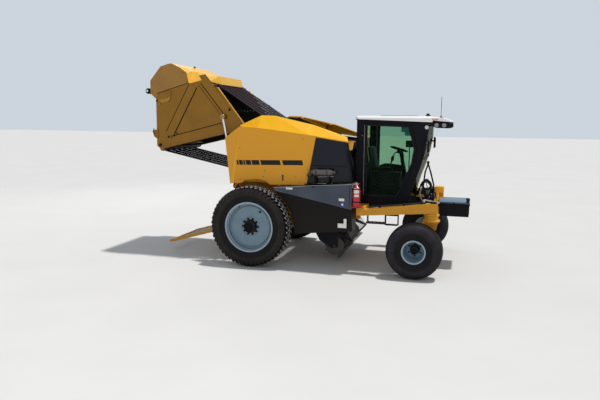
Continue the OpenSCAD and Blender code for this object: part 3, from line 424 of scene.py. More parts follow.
def smooth_path(pts, steps):
    """Catmull-Rom curve through the points."""
    out = []
    for i in range(len(pts) - 1):
        p0 = pts[i - 1] if i else pts[0] * 2 - pts[1]
        p1, p2 = pts[i], pts[i + 1]
        p3 = pts[i + 2] if i + 2 < len(pts) else pts[-1] * 2 - pts[-2]
        for k in range(steps):
            t = k / steps
            out.append(0.5 * ((2 * p1) + (p2 - p0) * t + (2 * p0 - 5 * p1 + 4 * p2 - p3) * t * t
                              + (3 * p1 - p0 - 3 * p2 + p3) * t ** 3))
    return out + [pts[-1]]


class Form:
    """A mesh under way. Places are given for the left; side "R" puts them on the right."""

    def __init__(self, side="", unit=MM):
        self.bm, self.side, self.unit = bmesh.new(), side, unit
        self.s = -1 if side == "R" else 1

    def at(self, p):
        return Vector((p[0], p[1] * self.s, p[2]))

    def soften(self, edges, radius):
        bmesh.ops.bevel(self.bm, geom=list(edges), offset=radius, segments=2, affect="EDGES",
                        profile=0.5)

    def box(self, lo, hi, bevel=3):
        ends = self.at(lo), self.at(hi)
        lo, hi = Vector(map(min, *ends)), Vector(map(max, *ends))
        made = bmesh.ops.create_cube(self.bm, size=1.0)["verts"]
        size = hi - lo
        for v in made:
            v.co = [(a + 0.5) * b + c for a, b, c in zip(v.co, size, lo)]
        self.soften({e for v in made for e in v.link_edges}, min(bevel, min(size) * 0.45))
        return self

    def boxes(self, rows, bevel=3):
        """Rounded blocks from rows of [x0, x1, y0, y1, z0, z1]."""
        for x0, x1, y0, y1, z0, z1 in rows:
            self.box((x0, y0, z0), (x1, y1, z1), bevel)
        return self

    def ring(self, centre, u, v, radius, count):
        """Vertices round centre in the plane of u and v."""
        return [self.bm.verts.new(centre + (u * cos(a) + v * sin(a)) * radius)
                for a in (2 * pi * k / count for k in range(count))]

    def skin(self, rings, capped=False):
        """Faces from ring to ring, where a ring may be one point."""
        face = self.bm.faces.new
        for a, b in zip(rings, rings[1:]):
            count = max(len(a), len(b))
            for k in range(count):
                j = (k + 1) % count
                if len(a) == 1:
                    face((a[0], b[j], b[k]))
                elif len(b) == 1:
                    face((a[k], a[j], b[0]))
                else:
                    face((a[k], a[j], b[j], b[k]))
        if capped:
            face(rings[0][::-1])
            face(rings[-1])

    def tube(self, points, radius, sides=10, steps=0):
        """Round tube along the points, or along a curve of so many steps a stretch."""
        pts = [self.at(p) for p in points]
        if steps:
            pts = smooth_path(pts, steps)
        rings = []
        side = None
        for i, p in enumerate(pts):
            before = (p - pts[i - 1]).normalized() if i else None
            after = (pts[i + 1] - p).normalized() if i + 1 < len(pts) else None
            way = ((before or after) + (after or before)).normalized()
            if side is None:
                side = way.orthogonal().normalized()
            side = (side - way * side.dot(way)).normalized()
            rings.append(self.ring(p, side, way.cross(side), radius, sides))
        self.skin(rings, capped=True)
        return self

    def pipes(self, rows, sides=10, steps=8):
        """Pipes or clipped hoses from rows of [radius, points]."""
        for radius, points in rows:
            self.tube(points, radius, sides, steps)
        return self

    def turned(self, profile, places, segments=32, axis=OUT):
        """Profile of (radius, along) turned round an axis through a place or each of a list."""
        axis = self.at(axis).normalized()
        side = axis.orthogonal().normalized()
        other = axis.cross(side)
        for centre in places if isinstance(places, list) else [places]:
            spots = [(r, self.at(centre) + axis * h) for r, h in profile]
            self.skin([self.ring(c, side, other, r, segments) if r else [self.bm.verts.new(c)]
                       for r, c in spots])
        return self

    def bolts(self, places, r=12, h=10, axis=OUT):
        """Hexagon heads on washers, their feet at the places."""
        for p in places:
            self.turned([(r * 1.45, 0), (r * 1.45, h * 0.22), (r * 1.1, h * 0.26)], p, 14, axis)
            self.turned([(r, h * 0.2), (r, h * 0.85), (r * 0.8, h), (0, h)], p, 6, axis)
        return self

    def prism(self, outline, y0, y1, bevel=0):
        """[x, z] outline between two y planes."""
        a, b = ([self.bm.verts.new((x, self.s * y, z)) for x, z in outline] for y in (y0, y1))
        faces = [self.bm.faces.new(a), self.bm.faces.new(b[::-1])]
        for k in range(len(a)):
            j = (k + 1) % len(a)
            faces.append(self.bm.faces.new((a[j], a[k], b[k], b[j])))
        if bevel:
            self.soften({e for f in faces for e in f.edges}, bevel)
        return self

    def place(self, name, mat, smooth=True):
        """The object, which rides on nothing yet."""
        name += "_" + self.side if self.side else ""
        mesh = bpy.data.meshes.new(name)
        bmesh.ops.transform(self.bm, matrix=Matrix.Translation(SHIFT) @ Matrix.Scale(self.unit, 4),
                            verts=self.bm.verts)
        bmesh.ops.recalc_face_normals(self.bm, faces=self.bm.faces)
        self.bm.to_mesh(mesh)
        self.bm.free()
        obj = bpy.data.objects.new(name, mesh)
        bpy.context.scene.collection.objects.link(obj)
        mesh.materials.append(mat)
        if smooth:
            for poly in mesh.polygons:
                poly.use_smooth = True
            mesh.set_sharp_from_angle(angle=radians(38))
        return obj

    def done(self, name, mat, body="machine", slot=None, smooth=True):
        """The object on its body; a body's name that ends in _ takes the side."""
        obj = self.place(name, mat, smooth)
        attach(obj, body + self.side if body.endswith("_") else body)
        return obj


def along(p, q, step, inset=0):
    """Points between p and q about a step apart, inset from both ends."""
    p, q = Vector(p), Vector(q)
    way = (q - p).normalized()
    p, q = p + way * inset, q - way * inset
    count = max(1, round((q - p).length / step))
    return [p.lerp(q, k / count) for k in range(count + 1)]


def around(centre, radius, count, y, shift=0.0):
    """Places on a circle in a plane of y."""
    turn = 2 * pi / count
    return [(centre[0] + radius * cos((k + shift) * turn), y,
             centre[2] + radius * sin((k + shift) * turn)) for k in range(count)]


def around_post(x, y, radius, count, z, shift=0.0):
    """Places on a level circle."""
    return [(a, b, c) for a, c, b in around((x, 0, y), radius, count, z, shift)]


# Wheels

DISC = DRIVE[1] + 45
for side in "RL":
    x, y, z = DRIVE
    (Form(side)
     .turned([(23, 0), (23, 4), (19, 6), (18, 28), (10, 34), (10, 46), (0, 48)],
             around(DRIVE, 157, 10, DISC), 6)
     .done("wheel_nuts", HUB_BLACK, "drive_wheel_"))
    (Form(side)
     .turned([(100, 0), (100, 6), (88, 14), (70, 20), (50, 24), (0, 26)], (x, DISC + 96, z), 36)
     .bolts(around(DRIVE, 88, 6, DISC + 104), 7, 8)
     .done("hub_cap", HUB_BLACK, "drive_wheel_"))
    a = radians(118 if side == "R" else 62)
    # Valve, and a black disc in the hand hole of the disc: painted shade of the open hole
    (Form(side)
     .turned([(7, 0), (7, 30), (10, 31), (10, 48), (0, 50)],
             (x + 446 * cos(a), y + 90, z + 446 * sin(a)), 10)
     .turned([(24.5, 0), (24.5, 10), (0, 10)], (177.4, DISC - 22, 1060), 28)
     .done("valve", HUB_BLACK, "drive_wheel_"))
    x, y, z = CASTER
    (Form(side).bolts(around(CASTER, 125, 6, y - 150, 0.5), 13, 22)
     .turned([(58, 0), (58, 12), (40, 26), (0, 28)], (x, y + 50, z), 28)
     .done("caster_nuts", HUB_BLACK, "caster_wheel_"))


# Belts across the lift joint

# [x, z] of each roller that carries a stretch of belt
ROLL_GATE = [(-1087, 3537), (-2330, 3200), (-2286, 2232)]
ROLLS = [(15, 2833), (860, 2480), (560, 1640), (760, 860), (-560, 760)]
ROLL_R = 60.3
BELTS = 6
BELTS_W, BELT_GAP, BELT_T = 1500, 45, 8
BEND_STEPS = 40


def belt_span(name, start, end, turn):
    """Belts side by side between a chamber roller and a tailgate roller."""
    angle = math.atan2(end[1] - start[1], end[0] - start[0]) + pi / 2 * turn
    away = Vector((cos(angle), 0, sin(angle)))
    p, q = (Vector((x, 0, z)) + away * (ROLL_R + BELT_T / 2) for x, z in (start, end))
    up = away * (BELT_T / 2)
    pitch = (BELTS_W + BELT_GAP) / BELTS
    form = Form()
    for i in range(BELTS):
        y0 = -BELTS_W / 2 + i * pitch
        y1 = y0 + pitch - BELT_GAP
        middle = (y0 + y1) / 2
        section = [(y0, 0.5), (y0 + 6, 1), (middle, 1), (y1 - 6, 1), (y1, 0.5),
                   (y1 - 6, -1), (middle, -1), (y0 + 6, -1)]
        form.skin([[form.bm.verts.new(p.lerp(q, k / BEND_STEPS) + up * e + Vector((0, y, 0)))
                    for y, e in section] for k in range(BEND_STEPS + 1)], capped=True)
    obj = form.place(name, BELT, smooth=False)
    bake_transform(obj)
    return obj


upper = belt_span("belts_upper", ROLLS[0], ROLL_GATE[0], -1)
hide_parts("belt_spans")
belt_span("belts_lower", ROLLS[2], ROLL_GATE[2], 1)


# Tailgate

GATE_Y = 880
GATE_OUT = 892
FLANGE = [(-955, 3522), (-345, 2740)]
# Welded ribs: [x, z] of both ends, half height, and the sides and width of the painted shadow
# strips along them
GATE_RIBS = [
    [(-1532, 3560), (-2100, 2546), 85, (1, -1), 22],
    [(-1385, 3590), (-880, 2968), 23, (1, -1), 16],
    [(-2050, 2456), (-900, 2745), 30, (-1,), 20],
    [(-2285, 2245), (-790, 2592), 17, (1,), 12],
    [(-2385, 3392), (-1640, 3605), 0, (-1,), 18],
    [(-2350, 3180), (-2120, 3222), 0, (-1,), 14],
    [(-2120, 3222), (-2064, 3290), 0, (-1,), 14],
    [(-2064, 3290), (-2048, 3462), 0, (-1,), 14],
]
# x, z and radius of each
LATCHES = [(-1935, 2560, 12), (-1985, 2500, 14), (-2060, 2470, 12),
           (-2130, 2482, 16), (-705, 3066, 24), (-2395, 3250, 16),
           (-2333, 2303, 26)]
for side in "RL":
    # The outturned flange along the front edge catches the light
    (x0, z0), (x1, z1) = FLANGE
    (Form(side).prism([(x0, z0), (x1, z1), (x1 - 16, z1 - 12), (x0 - 16, z0 - 12)], GATE_Y, 925)
     .done("gate_flange", YELLOW_POD, "tailgate", smooth=False))
    (Form(side).prism([(-1130, 3480), (-1085, 3535), (x0, z0), (x1, z1), (-420, 2740)], 880.5, 886)
     .done("gate_lip", YELLOW_GATE, "tailgate", smooth=False))
    # Dark strips beside the ribs: painted shadow
    form = Form(side)
    for start, end, half, ways, width in GATE_RIBS:
        p, q = (Vector((x, 0, z)) for x, z in (start, end))
        across = Vector(OUT).cross(q - p).normalized()
        for way in ways:
            near = across * (half + 1) * way
            far = across * (half + width) * way
            form.prism([tuple(v.xz) for v in (p + near, q + near, q + far, p + far)], 880.2, 881)
    form.done("gate_rib_shadows", RIB_SHADOW, "tailgate", smooth=False)
    edge = [p - Vector((55, 0, 45))
            for p in along((x0, GATE_Y, z0), (x1, GATE_Y, z1), 170, 120)]
    (Form(side).bolts(edge, 9, 8)
     .bolts(along((-2250, GATE_OUT, 2252), (-860, GATE_OUT, 2574), 155), 8, 6)
     .turned([(56, 0), (56, 8), (40, 12), (36, 20), (20, 22), (0, 24)],
             [(x, GATE_Y, z) for x, z in ROLL_GATE], 28)
     .done("gate_bolts", YELLOW_GATE, "tailgate"))
    (Form(side)
     .prism([(-2345, 3190), (-2352, 3262), (-2130, 3300), (-2085, 3330), (-2072, 3300),
             (-2122, 3232)], GATE_OUT, GATE_OUT + 4)
     .done("gate_hatch_plate", HATCH_YELLOW, "tailgate", smooth=False))
    form = Form(side)
    for x, z, r in LATCHES:
        form.bolts([(x, GATE_Y, z)], r, 22)
    (form.tube([(-2455, GATE_OUT, 2470), (-2490, GATE_OUT + 12, 2580),
                (-2470, GATE_OUT + 12, 2660)], 8)
     .done("gate_latches", BLACK, "tailgate"))
    (Form(side).turned([(47, 0), (47, 6), (30, 8), (26, 18), (0, 20)], (-830, 1006.2, 2920), 28)
     .done("rod_pin", YELLOW_POD, "rod_"))
    (Form(side).turned([(24, 0), (24, 4), (18, 8), (0, 9)], (-2622, GATE_Y, 3453), 24)
     .done("wrap_roller_cap", WHITE_PLATE, "tailgate"))
    (Form(side)
     .bolts([(x, GATE_Y, z)
             for x, z in ((-2500, 3430), (-2500, 3620), (-2260, 3910), (-2040, 3970),
                          (-1760, 3830), (-1680, 3640))], 6, 5)
     .done("pod_bolts", BLACK, "tailgate"))
    (Form(side).boxes([[-2561, -2543, 620, 780, 3520, 3600]], 6)
     .done("tail_lamp", RED_LENS, "tailgate"))
    (Form(side).boxes([[-2560, -2543, 800, 850, 3520, 3600]], 6)
     .done("tail_reflector", AMBER, "tailgate"))
    (Form(side).bolts([(-1220 + 75 * k, 845, 3065) for k in range(6)], axis=(0, -1, 0))
     .done("gate_inner_bolts", STEEL, "tailgate"))
(Form()
 .turned([(22, 0), (18, 20), (28, 26), (28, 40), (0, 44)], (-1985, 100, 3995), 20, (0.2, 0, 1))
 .done("pod_knob", BLACK, "tailgate"))
# Guard rod beyond the upper belts
(Form().tube([(-1020, 800, 3560), (-960, 800, 3520), (-460, 800, 3205), (-420, 838, 3180)], 7)
 .done("belt_guard", STEEL, "tailgate"))


# Shields: stripe, fasteners, latches and the carrier under the arch

SHIELD_Y = 1200
STRIPE_ROWS = [[-440, -402], [-388, -308], [-294, -256], [-242, -130],
               [-114, 48], [76, 490], [536, 952]]
RIVETS = [(-362, 2298), (173, 1855), (144, 1738), (818, 1762), (966, 2500),
          (900, 1660), (-360, 1660)]
for side in "RL":
    form = Form(side)
    for left, right in STRIPE_ROWS:
        low, high = ([z + 0.024 * (x + 420) for x in (left, right)] for z in (1957, 2053))
        form.prism([(left + 24, low[0]), (right + 24, low[1]), (right, high[1]), (left, high[0])],
                   SHIELD_Y + 0.2, SHIELD_Y + 1.2)
    form.done("stripe", STRIPE, "shield_", smooth=False)
    (Form(side)
     .turned([(14, 0), (14, 2), (9, 5), (0, 6)], [(x, SHIELD_Y, z) for x, z in RIVETS], 14)
     .done("shield_rivets", HATCH_YELLOW, "shield_"))
    (Form(side).boxes([[545, 567, 1198, 1214, 1670, 1760]], 5)
     .turned([(16, 0), (16, 12), (0, 14)], (556, 1204, 1770), 16)
     .done("shield_latch", BLACK, "shield_"))
    # The yellow carrier under the shield's arch
    (Form(side)
     .tube([(-470, 860, 1570), (-470, 1060, 1575), (-380, 1090, 1620), (0, 1090, 1640),
            (330, 1090, 1600), (400, 1060, 1560), (400, 980, 1545)], 30, 12, 6)
     .boxes([[x, x + 50, 812, 1090, 1600, 1625] for x in (-300, 50)], 4)
     .boxes([[-500, -440, 1020, 1120, 1540, 1630]], 8)
     .done("shield_carrier", FRAME_YELLOW))


# Chamber: roller bearings, ribs, and the drive motor's bolts and lines

for side in "RL":
    form = Form(side)
    for x, z in ROLLS:
        form.turned([(70, 0), (70, 10), (48, 14), (44, 28), (22, 30), (0, 32)], (x, 810, z), 28)
        form.bolts(around((x, 0, z), 58, 4, 820, 0.5), 7, 8)
    form.done("chamber_bearings", BLACK)
    (Form(side)
     .boxes([[x0, x1, 810, 822, z, z + 50]
             for x0, x1, z in ((-100, 950, 2100), (-200, 980, 1750))], 4)
     .done("chamber_ribs", DARK))
    Form(side).bolts(around(DRIVE, 154, 8, 1246), 13, 14).done("motor_bolts", STEEL)
    (Form(side)
     .pipes([[14, [(300, 985, 1140), (260, 1000, 1020), (200, 1020, 900), (130, 1090, 830)]],
             [14, [(340, 985, 1100), (300, 1000, 960), (220, 1030, 840), (140, 1120, 760)]],
             [11, [(300, 988, 1140), (800, 990, 1160), (1600, 990, 1160), (2050, 990, 1170)]]])
     .done("motor_lines", HOSE))
    (Form(side).boxes([[x, x + 40, 978, 1006, 1130, 1190] for x in (700, 1050)], 4)
     .done("line_clips", BLACK))


# Engine bay

for side in "RL":
    y = 1170.5
    (Form(side)
     .boxes([[1842 - k * 4.5, 1908 - k * 4.5, y, y + 12, 2075 + k * 34, 2091 + k * 34]
             for k in range(7)], 4)
     .done("louvres", BLACK_PLASTIC))
    (Form(side).prism([(1852, 2472), (1962, 2474), (1932, 2305), (1875, 2300)], 1125, 1137, 3)
     .boxes([[1846, 1960, 1000, 1137, 2456, 2474]])
     .done("panel_tab", YELLOW))
    (Form(side)
     .pipes([[5, [(1075, y, 1990), (1862, y, 1990)]],
             [6, [(1205, y, 2505), (1030, y, 1620), (1925, y, 1690), (1835, y, 2435)]]], 6, 0)
     .done("panel_seams", BLACK))
    (Form(side)
     .bolts([(x, y, z)
             for x, z in ((1210, 2460), (1500, 2430), (1800, 2410), (1060, 1660), (1860, 1720))],
            9, 6)
     .done("panel_bolts", BLACK))

(Form()
 .tube([(1215, -1300, 1862), (1170, -1300, 1856), (1140, -1312, 1826), (1128, -1335, 1790)],
       44, 24, 6)
 .turned([(70, 0), (72, 4), (72, 20), (70, 24)], [(1262, -1300, 1865), (1480, -1300, 1865)],
         axis=AHEAD)
 .done("muffler_outlet", IRON))
(Form().boxes([[1215, 1262, -1255, -1168, 1600, 1800], [1500, 1530, -1235, -1168, 1640, 1800]])
 .done("muffler_bracket", BLACK))
(Form()
 .pipes([[10, [(1262, -1170, 1772), (1272, -1215, 1772), (1560, -1215, 1792),
               (1570, -1170, 1792)]],
         [10, [(1215, -1170, 1640), (1225, -1205, 1640), (1540, -1205, 1650),
               (1550, -1170, 1650)]]], steps=4)
 .done("panel_handles", GREY_HOSE))
(Form()
 .tube([(1575, -360, 2020), (1600, -620, 2020), (1620, -950, 1940), (1612, -1260, 1866),
        (1586, -1300, 1865)], 38, 18, 8)
 .done("exhaust_pipe", IRON))

# Engine: covers, intake, pulleys and filters on the plain block
(Form().boxes([[1200, 1800, -140, 140, 2120, 2200]], 20)
 .turned([(30, 0), (30, 12), (16, 20), (0, 21)],
         [(1280 + k * 145, 0, 2200) for k in range(4)], 20, UP)
 .tube([(1240, 240, 2020), (1240, 300, 2160), (1420, 340, 2200), (1600, 360, 2210)], 45, 20, 6)
 .turned([(0, 0), (105, 0), (115, 20), (115, 340), (98, 380), (0, 385)],
         (1550, 500, 2170), 32, (-1, 0, 0))
 .done("engine_intake", BLACK_PLASTIC))
form = Form()
for y, z, r in ((0, 1780, 130), (200, 1980, 70), (-190, 1960, 75), (20, 2020, 60)):
    form.turned([(0, 0), (r * 0.5, 0), (r * 0.55, 20), (r, 22), (r, 30), (r * 0.93, 40), (r, 50),
                 (r, 58), (20, 60), (0, 65)], (1850, y, z), 36, AHEAD)
form.turned([(0, 0), (48, 0), (50, 10), (50, 130), (40, 145), (0, 147)],
            (1450, -350, 1720), 24, (0, -1, 0))
for x in (1260, 1400, 1540, 1680):
    form.tube([(x, -350, 1990), (x + 20, -400, 2000), (x + 60, -420, 2020)], 26, 14, 4)
form.tube([(1220, -420, 2020), (1760, -420, 2020)], 36, 18).done("engine_fittings", IRON)
form = Form()
for y in (-360, 360):
    for r in (75, 135, 195, 255):
        form.tube([(1490 + r * cos(a), y + r * sin(a), 2436)
                   for a in (2 * pi * k / 40 for k in range(41))], 4, 6)
    for k in range(4):
        dx, dy = 270 * cos(pi * k / 4), 270 * sin(pi * k / 4)
        form.tube([(1490 - dx, y - dy, 2441), (1490 + dx, y + dy, 2441)], 5, 6)
    form.turned([(275, 0), (290, 0), (290, 16), (275, 16), (275, 0)], (1490, y, 2430), 48, UP)
form.done("cooler_grilles", BLACK)


# Side boxes: edge trim, seams, plates and latches

for side in "RL":
    (Form(side).tube([(430, 1436, 1552), (1169, 1438, 1616.5), (1990, 1438, 1675)], 4, 6)
     .done("box_trim", GREY_HOSE))
    (Form(side).tube([(1955, 1447.5, 1215), (1955, 1427, 1655)], 4, 6)
     .boxes([[1215, 1262, 1420, 1434, 1585, 1612]], 4)
     .boxes([[1020 + 220 * k, 1170 + 220 * k, 1030, 1320, 1620.5 + k * 11.5, 1626.5 + k * 15]
             for k in range(4)], 2)
     .done("box_latches", BLACK))
(Form()
 .boxes([[1752, 1858, -1444.5, -1436.5, 1352, 1402], [695, 830, -1438, -1426, 1530, 1566],
         [1735, 1905, -1420, -1408, 830, 915], [1850, 1905, -1425, -1411, 915, 1010]], 2)
 .done("box_plates", WHITE_PLATE))
ROUND_PLATE, PLATE_WAY = (1825, -1445.5, 1288), (0, -1, 0.05)
(Form().turned([(62, 0), (62, 4), (54, 6), (20, 6)], ROUND_PLATE, 32, PLATE_WAY)
 .done("box_round_plate", BLUE_PLATE))
(Form().turned([(20, 6), (14, 8), (0, 8)], ROUND_PLATE, 32, PLATE_WAY)
 .done("box_round_mark", WHITE_PLATE))


# Cab outside

WINDOW = [(2159, 1412), (2159, 2776), (2953, 2756), (3030, 2500), (3072, 2325),
          (3030, 2052), (2928, 1806), (2826, 1545), (2760, 1412)]
# The door's front edge
DOOR_FRONT = [(3001, 2810), (3085, 2513), (3129, 2325), (3084, 2040), (2979, 1787),
              (2866, 1492), (2797, 1354)]
for side in "RL":
    (Form(side).tube([(x, 832, z) for x, z in WINDOW + WINDOW[:2]], 10, 8)
     .done("window_seal", HOSE, "cab_door_", "black_plastic"))
    # Gasket in the frame behind the door's front edge
    (Form(side).tube([(x + 4, 786, z) for x, z in DOOR_FRONT], 12, 8)
     .done("door_gasket", HOSE, slot="black_plastic"))
    (Form(side).boxes([[2205, 2235, 850, 872, 1395, 1480]], 6)
     .boxes([[2200, 2215, 868, 884, 1420, 1455]], 4)
     .tube([(2810, 852, 1620), (2815, 895, 1650), (2835, 895, 1800), (2842, 852, 1830)], 11, 10, 5)
     .done("door_handle", BLACK_PLASTIC, "cab_door_"))
    (Form(side).tube([(2118, 883.5, 1420), (2118, 883.5, 2780)], 3.5, 6)
     .done("door_seal", GREY_HOSE, "cab_door_", "black_plastic"))
    (Form(side)
     .prism([(1990, 2900), (1990, 2893), (2700, 2872), (3400, 2850), (3400, 2900)], 868, 884)
     .done("roof_brow", WHITE, smooth=False))
    # Sill under the cab
    (Form(side).prism([(2120, 1140), (3300, 1290), (3300, 1345), (2120, 1310)], 835, 846)
     .done("cab_sill", BLACK_PLASTIC, smooth=False))
    Form(side).bolts([(2070, 866, z) for z in (1484, 2584)], 7, 6).done("hinge_bolts", STEEL)
    # Mirror glass looks back
    Form(side).boxes([[3326, 3330.2, 950, 1110, 2290, 2510]], 2).done("mirror_glass", MIRROR)
    (Form(side).boxes([[3349.5, 3368, 955, 1105, 2295, 2505]], 12)
     .done("mirror_shell", BLACK_PLASTIC))
    (Form(side)
     .turned([(43, 0), (52, 0), (52, 20), (47, 26), (43, 22)],
             [(3712, y, 2792) for y in (180, 420, 660)], axis=AHEAD)
     .turned([(41, 0), (50, 0), (50, 19), (45, 24), (41, 20)],
             [(x, 800, 2795) for x in (3470, 3610)])
     .done("lamp_rims", BLACK_PLASTIC))
    (Form(side).turned([(36, 0), (36, 4), (26, 9), (0, 11)], (3294, 851, 2752), 28)
     .done("pillar_lamp", PALE_LENS))

# Roof: drip edge, hatch seam, antenna and vents
(Form().tube([(1985, -877, 2893), (1928, -830, 2893), (1928, 830, 2893), (1985, 877, 2893)], 6, 8)
 .done("roof_drip", BLACK_PLASTIC))
hatch = [(2350, -400), (3050, -400), (3050, 400), (2350, 400), (2350, -400)]
Form().tube([(x, y, 2970) for x, y in hatch], 4, 6).done("roof_seam", BLACK_PLASTIC)
(Form().turned([(30, 0), (26, 20), (9, 34), (7, 50)], (3540, -700, 2926), 20, UP)
 .tube([(3540, -700, 2960), (3540, -700, 3330)], 4.2, 8)
 .turned([(50, 0), (50, 18), (30, 26), (28, 50), (0, 52)], (3250, 0, 2968), 24, UP)
 .done("antenna", BLACK_PLASTIC))

# Wiper on the windscreen
(Form()
 .pipes([[7, [(3270, 280, 2160), (3262, 50, 2120), (3262, -120, 2120)]],
         [8, [(3262, -420, 2120), (3262, 160, 2120)]]], steps=0)
 .done("wiper", BLACK))
(Form().turned([(26, 0), (26, 20), (16, 28), (0, 30)], (3258, 280, 2160), 20, (1, 0, -0.28))
 .done("wiper_hub", BLACK_PLASTIC))


# Cab inside

(Form().boxes([[2890, 3050, -640, -615, 2360, 2490], [2955, 2975, -635, -615, 1850, 2360]], 10)
 .done("monitor", BLACK_PLASTIC))
Form().boxes([[2902, 3038, -615.5, -611, 2372, 2478]], 2).done("monitor_face", GLOSS_DARK)
(Form().boxes([[2810, 2975, -775, -770, 2655, 2775], [2880, 3000, -775, -770, 2590, 2657]], 2)
 .done("sun_blind", SHADE))
# Trim inside the left door
(Form()
 .prism([(2175, 1425), (2175, 1880), (2300, 1930), (2700, 1900), (2800, 1700), (2715, 1425)],
        790, 806, 4)
 .done("door_trim", BLACK_PLASTIC, "cab_door_L"))
form = (Form().boxes([[2190, 2620, -400, -300, 1860, 1930]], 25)
        .tube([(2560, -350, 1920), (2580, -350, 2020), (2600, -360, 2080)], 14, 12, 5)
        .turned([(0, 0), (22, 5), (34, 35), (30, 85), (15, 105), (0, 108)],
                (2600, -360, 2065), 24, (0.15, 0, 1)))
for y in (160, -160):
    form.boxes([[2900, 2930, y - 50, y + 50, 1300, 1440]], 8)
    form.tube([(2930, y, 1400), (2975, y, 1360)], 10, 8)
(form.boxes([[2020, 3280, -600, 600, 2790, 2880]], 20)
 .tube([(2660, -620, 2110), (2680, -620, 2240), (2830, -620, 2260), (2860, -620, 2060)], 10, 10, 6)
 .done("cab_fittings", BLACK_PLASTIC))

CLOTH_FRAMES = 20
CROWN = 0.01
MOST_SWELL = 0.01


def blow_up(obj):
    """Cloth blown up from the closed form, no point moving further than MOST_SWELL."""
    def baked():
        graph = bpy.context.evaluated_depsgraph_get()
        return bpy.data.meshes.new_from_object(obj.evaluated_get(graph))
    remesh = obj.modifiers.new("remesh", "REMESH")
    remesh.mode = "VOXEL"
    remesh.voxel_size = 0.006
    mesh = baked()
    obj.modifiers.remove(remesh)
    obj.data = mesh
    cloth = obj.modifiers.new("cloth", "CLOTH")
    cloth.settings.use_pressure = True
    cloth.settings.uniform_pressure_force = 4.0
    cloth.settings.effector_weights.gravity = 0.0
    cloth.point_cache.frame_start = 1
    cloth.point_cache.frame_end = CLOTH_FRAMES
    for frame_number in range(1, CLOTH_FRAMES + 1):
        bpy.context.scene.frame_set(frame_number)
    swollen = baked()
    obj.modifiers.remove(cloth)
    for before, after in zip(obj.data.vertices, swollen.vertices):
        move = after.co - before.co
        if move.length > MOST_SWELL:
            move *= MOST_SWELL / move.length
        before.co = before.co + move
    bpy.context.scene.frame_set(1)


def cushion(name, lo, hi, lean=0.0):
    """Padded block in metres, blown up as cloth, with channels sewn into its two large sides."""
    lo, hi = Vector(lo), Vector(hi)
    size, middle = hi - lo, (lo + hi) / 2
    form = Form(unit=1)
    bmesh.ops.create_cube(form.bm, size=1.0)
    bmesh.ops.subdivide_edges(form.bm, edges=form.bm.edges, cuts=14, use_grid_fill=True)
    thin = min(range(3), key=lambda k: size[k])
    for v in form.bm.verts:
        u = v.co * 2
        puff = [1 - 0.3 * max(0.0, max(abs(u[(k + 1) % 3]), abs(u[(k + 2) % 3])) - 0.55) ** 2
                for k in range(3)]
        p = Vector([v.co[k] * size[k] * puff[k] for k in range(3)])
        if abs(u[thin]) > 0.99:
            grow = CROWN * (1 - u[(thin + 1) % 3] ** 2) * (1 - u[(thin + 2) % 3] ** 2)
            p[thin] += math.copysign(grow, u[thin])
        v.co = p + middle
    obj = form.done(name, SEAT_CLOTH)
    blow_up(obj)
    for v in obj.data.vertices:
        p = v.co - SHIFT - middle
        side = p[thin] / (size[thin] / 2)
        depth = 0.007 * math.exp(-((p.y / size.y * 6) % 2 - 1) ** 2 * 60) * min(1, abs(side)) ** 4
        p[thin] -= math.copysign(depth, side)
        p.x -= lean * p.z
        v.co = p + middle + SHIFT
    for face in obj.data.polygons:
        face.use_smooth = True
    if not obj.data.materials:
        obj.data.materials.append(SEAT_CLOTH)
    mod = obj.modifiers.new("round", "SUBSURF")
    mod.levels = mod.render_levels = 1
    return obj


base = cushion("seat_cushion", (2.192, -0.238, 1.66), (2.632, 0.238, 1.76))
cushion("seat_back", (2.112, -0.228, 1.798), (2.218, 0.228, 2.342), 0.165)
(Form().boxes([[2230, 2420, -150, 150, 1284, 1650]], 20)
 .boxes([[2215, 2435, -165, 165, 1340 + k * 55, 1370 + k * 55] for k in range(5)], 12)
 .boxes([[2200, 2620, -235, 235, 1628, 1652]], 8)
 .done("seat_stand", BLACK_PLASTIC))
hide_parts("seat")


# Front end: box, hoses, hoop fittings and kingpins

KINGPIN = (3500, 1280)
Form().boxes([[3548, 4152, -394, 394, 1251.5, 1286]], 16).done("front_box_lid", BLUE_LID)
(Form().boxes([[4135, 4149, y - 30, y + 30, 1195, 1262] for y in (-250, 250)], 4)
 .boxes([[4136, 4141, -300, 300, 1040, 1170]], 6)
 .turned([(16, 0), (16, 4), (10, 8), (0, 9)], (3845, -392, 1268), 16, (0, -1, 0))
 .done("front_box_latches", BLACK))
(Form()
 .turned([(31, 0), (40, 8), (40, 26), (26, 40), (0, 42)], (4105, -345, 1330), 24, (0.25, 0, 1))
 .done("front_knob", BLACK_PLASTIC))
for side in "RL":
    (Form(side)
     .turned([(0, 0), (66, 0), (72, 6), (72, 14), (50, 20), (46, 28), (0, 30)],
             (*KINGPIN, 1370.5), 32, UP)
     .bolts(around_post(*KINGPIN, 58, 6, 1384.5), 7, 7, UP)
     .done("kingpin_cap", BLACK))
    (Form(side).bolts(around_post(*KINGPIN, 120, 8, 1062.5, 0.5), 9, 10, UP)
     .done("head_bolts", FRAME_YELLOW, "caster_"))
    (Form(side).bolts([(x, 1355, z) for x in (2280, 2400) for z in (1128, 1180)], 14, 10)
     .done("arm_bolts", FRAME_YELLOW))
    (Form(side)
     .pipes([[12, [(2300, y, 1240), (2700, y, 1290), (3200, y, 1352), (3360, y, 1372)]]
             for y in (1245, 1277, 1309)])
     .done("arm_lines", HOSE))
    (Form(side)
     .boxes([[x, x + 35, 1225, 1325, z - 6, z + 34]
             for x, z in ((2500, 1250), (2950, 1307), (3270, 1347))], 5)
     .done("arm_clips", BLACK))

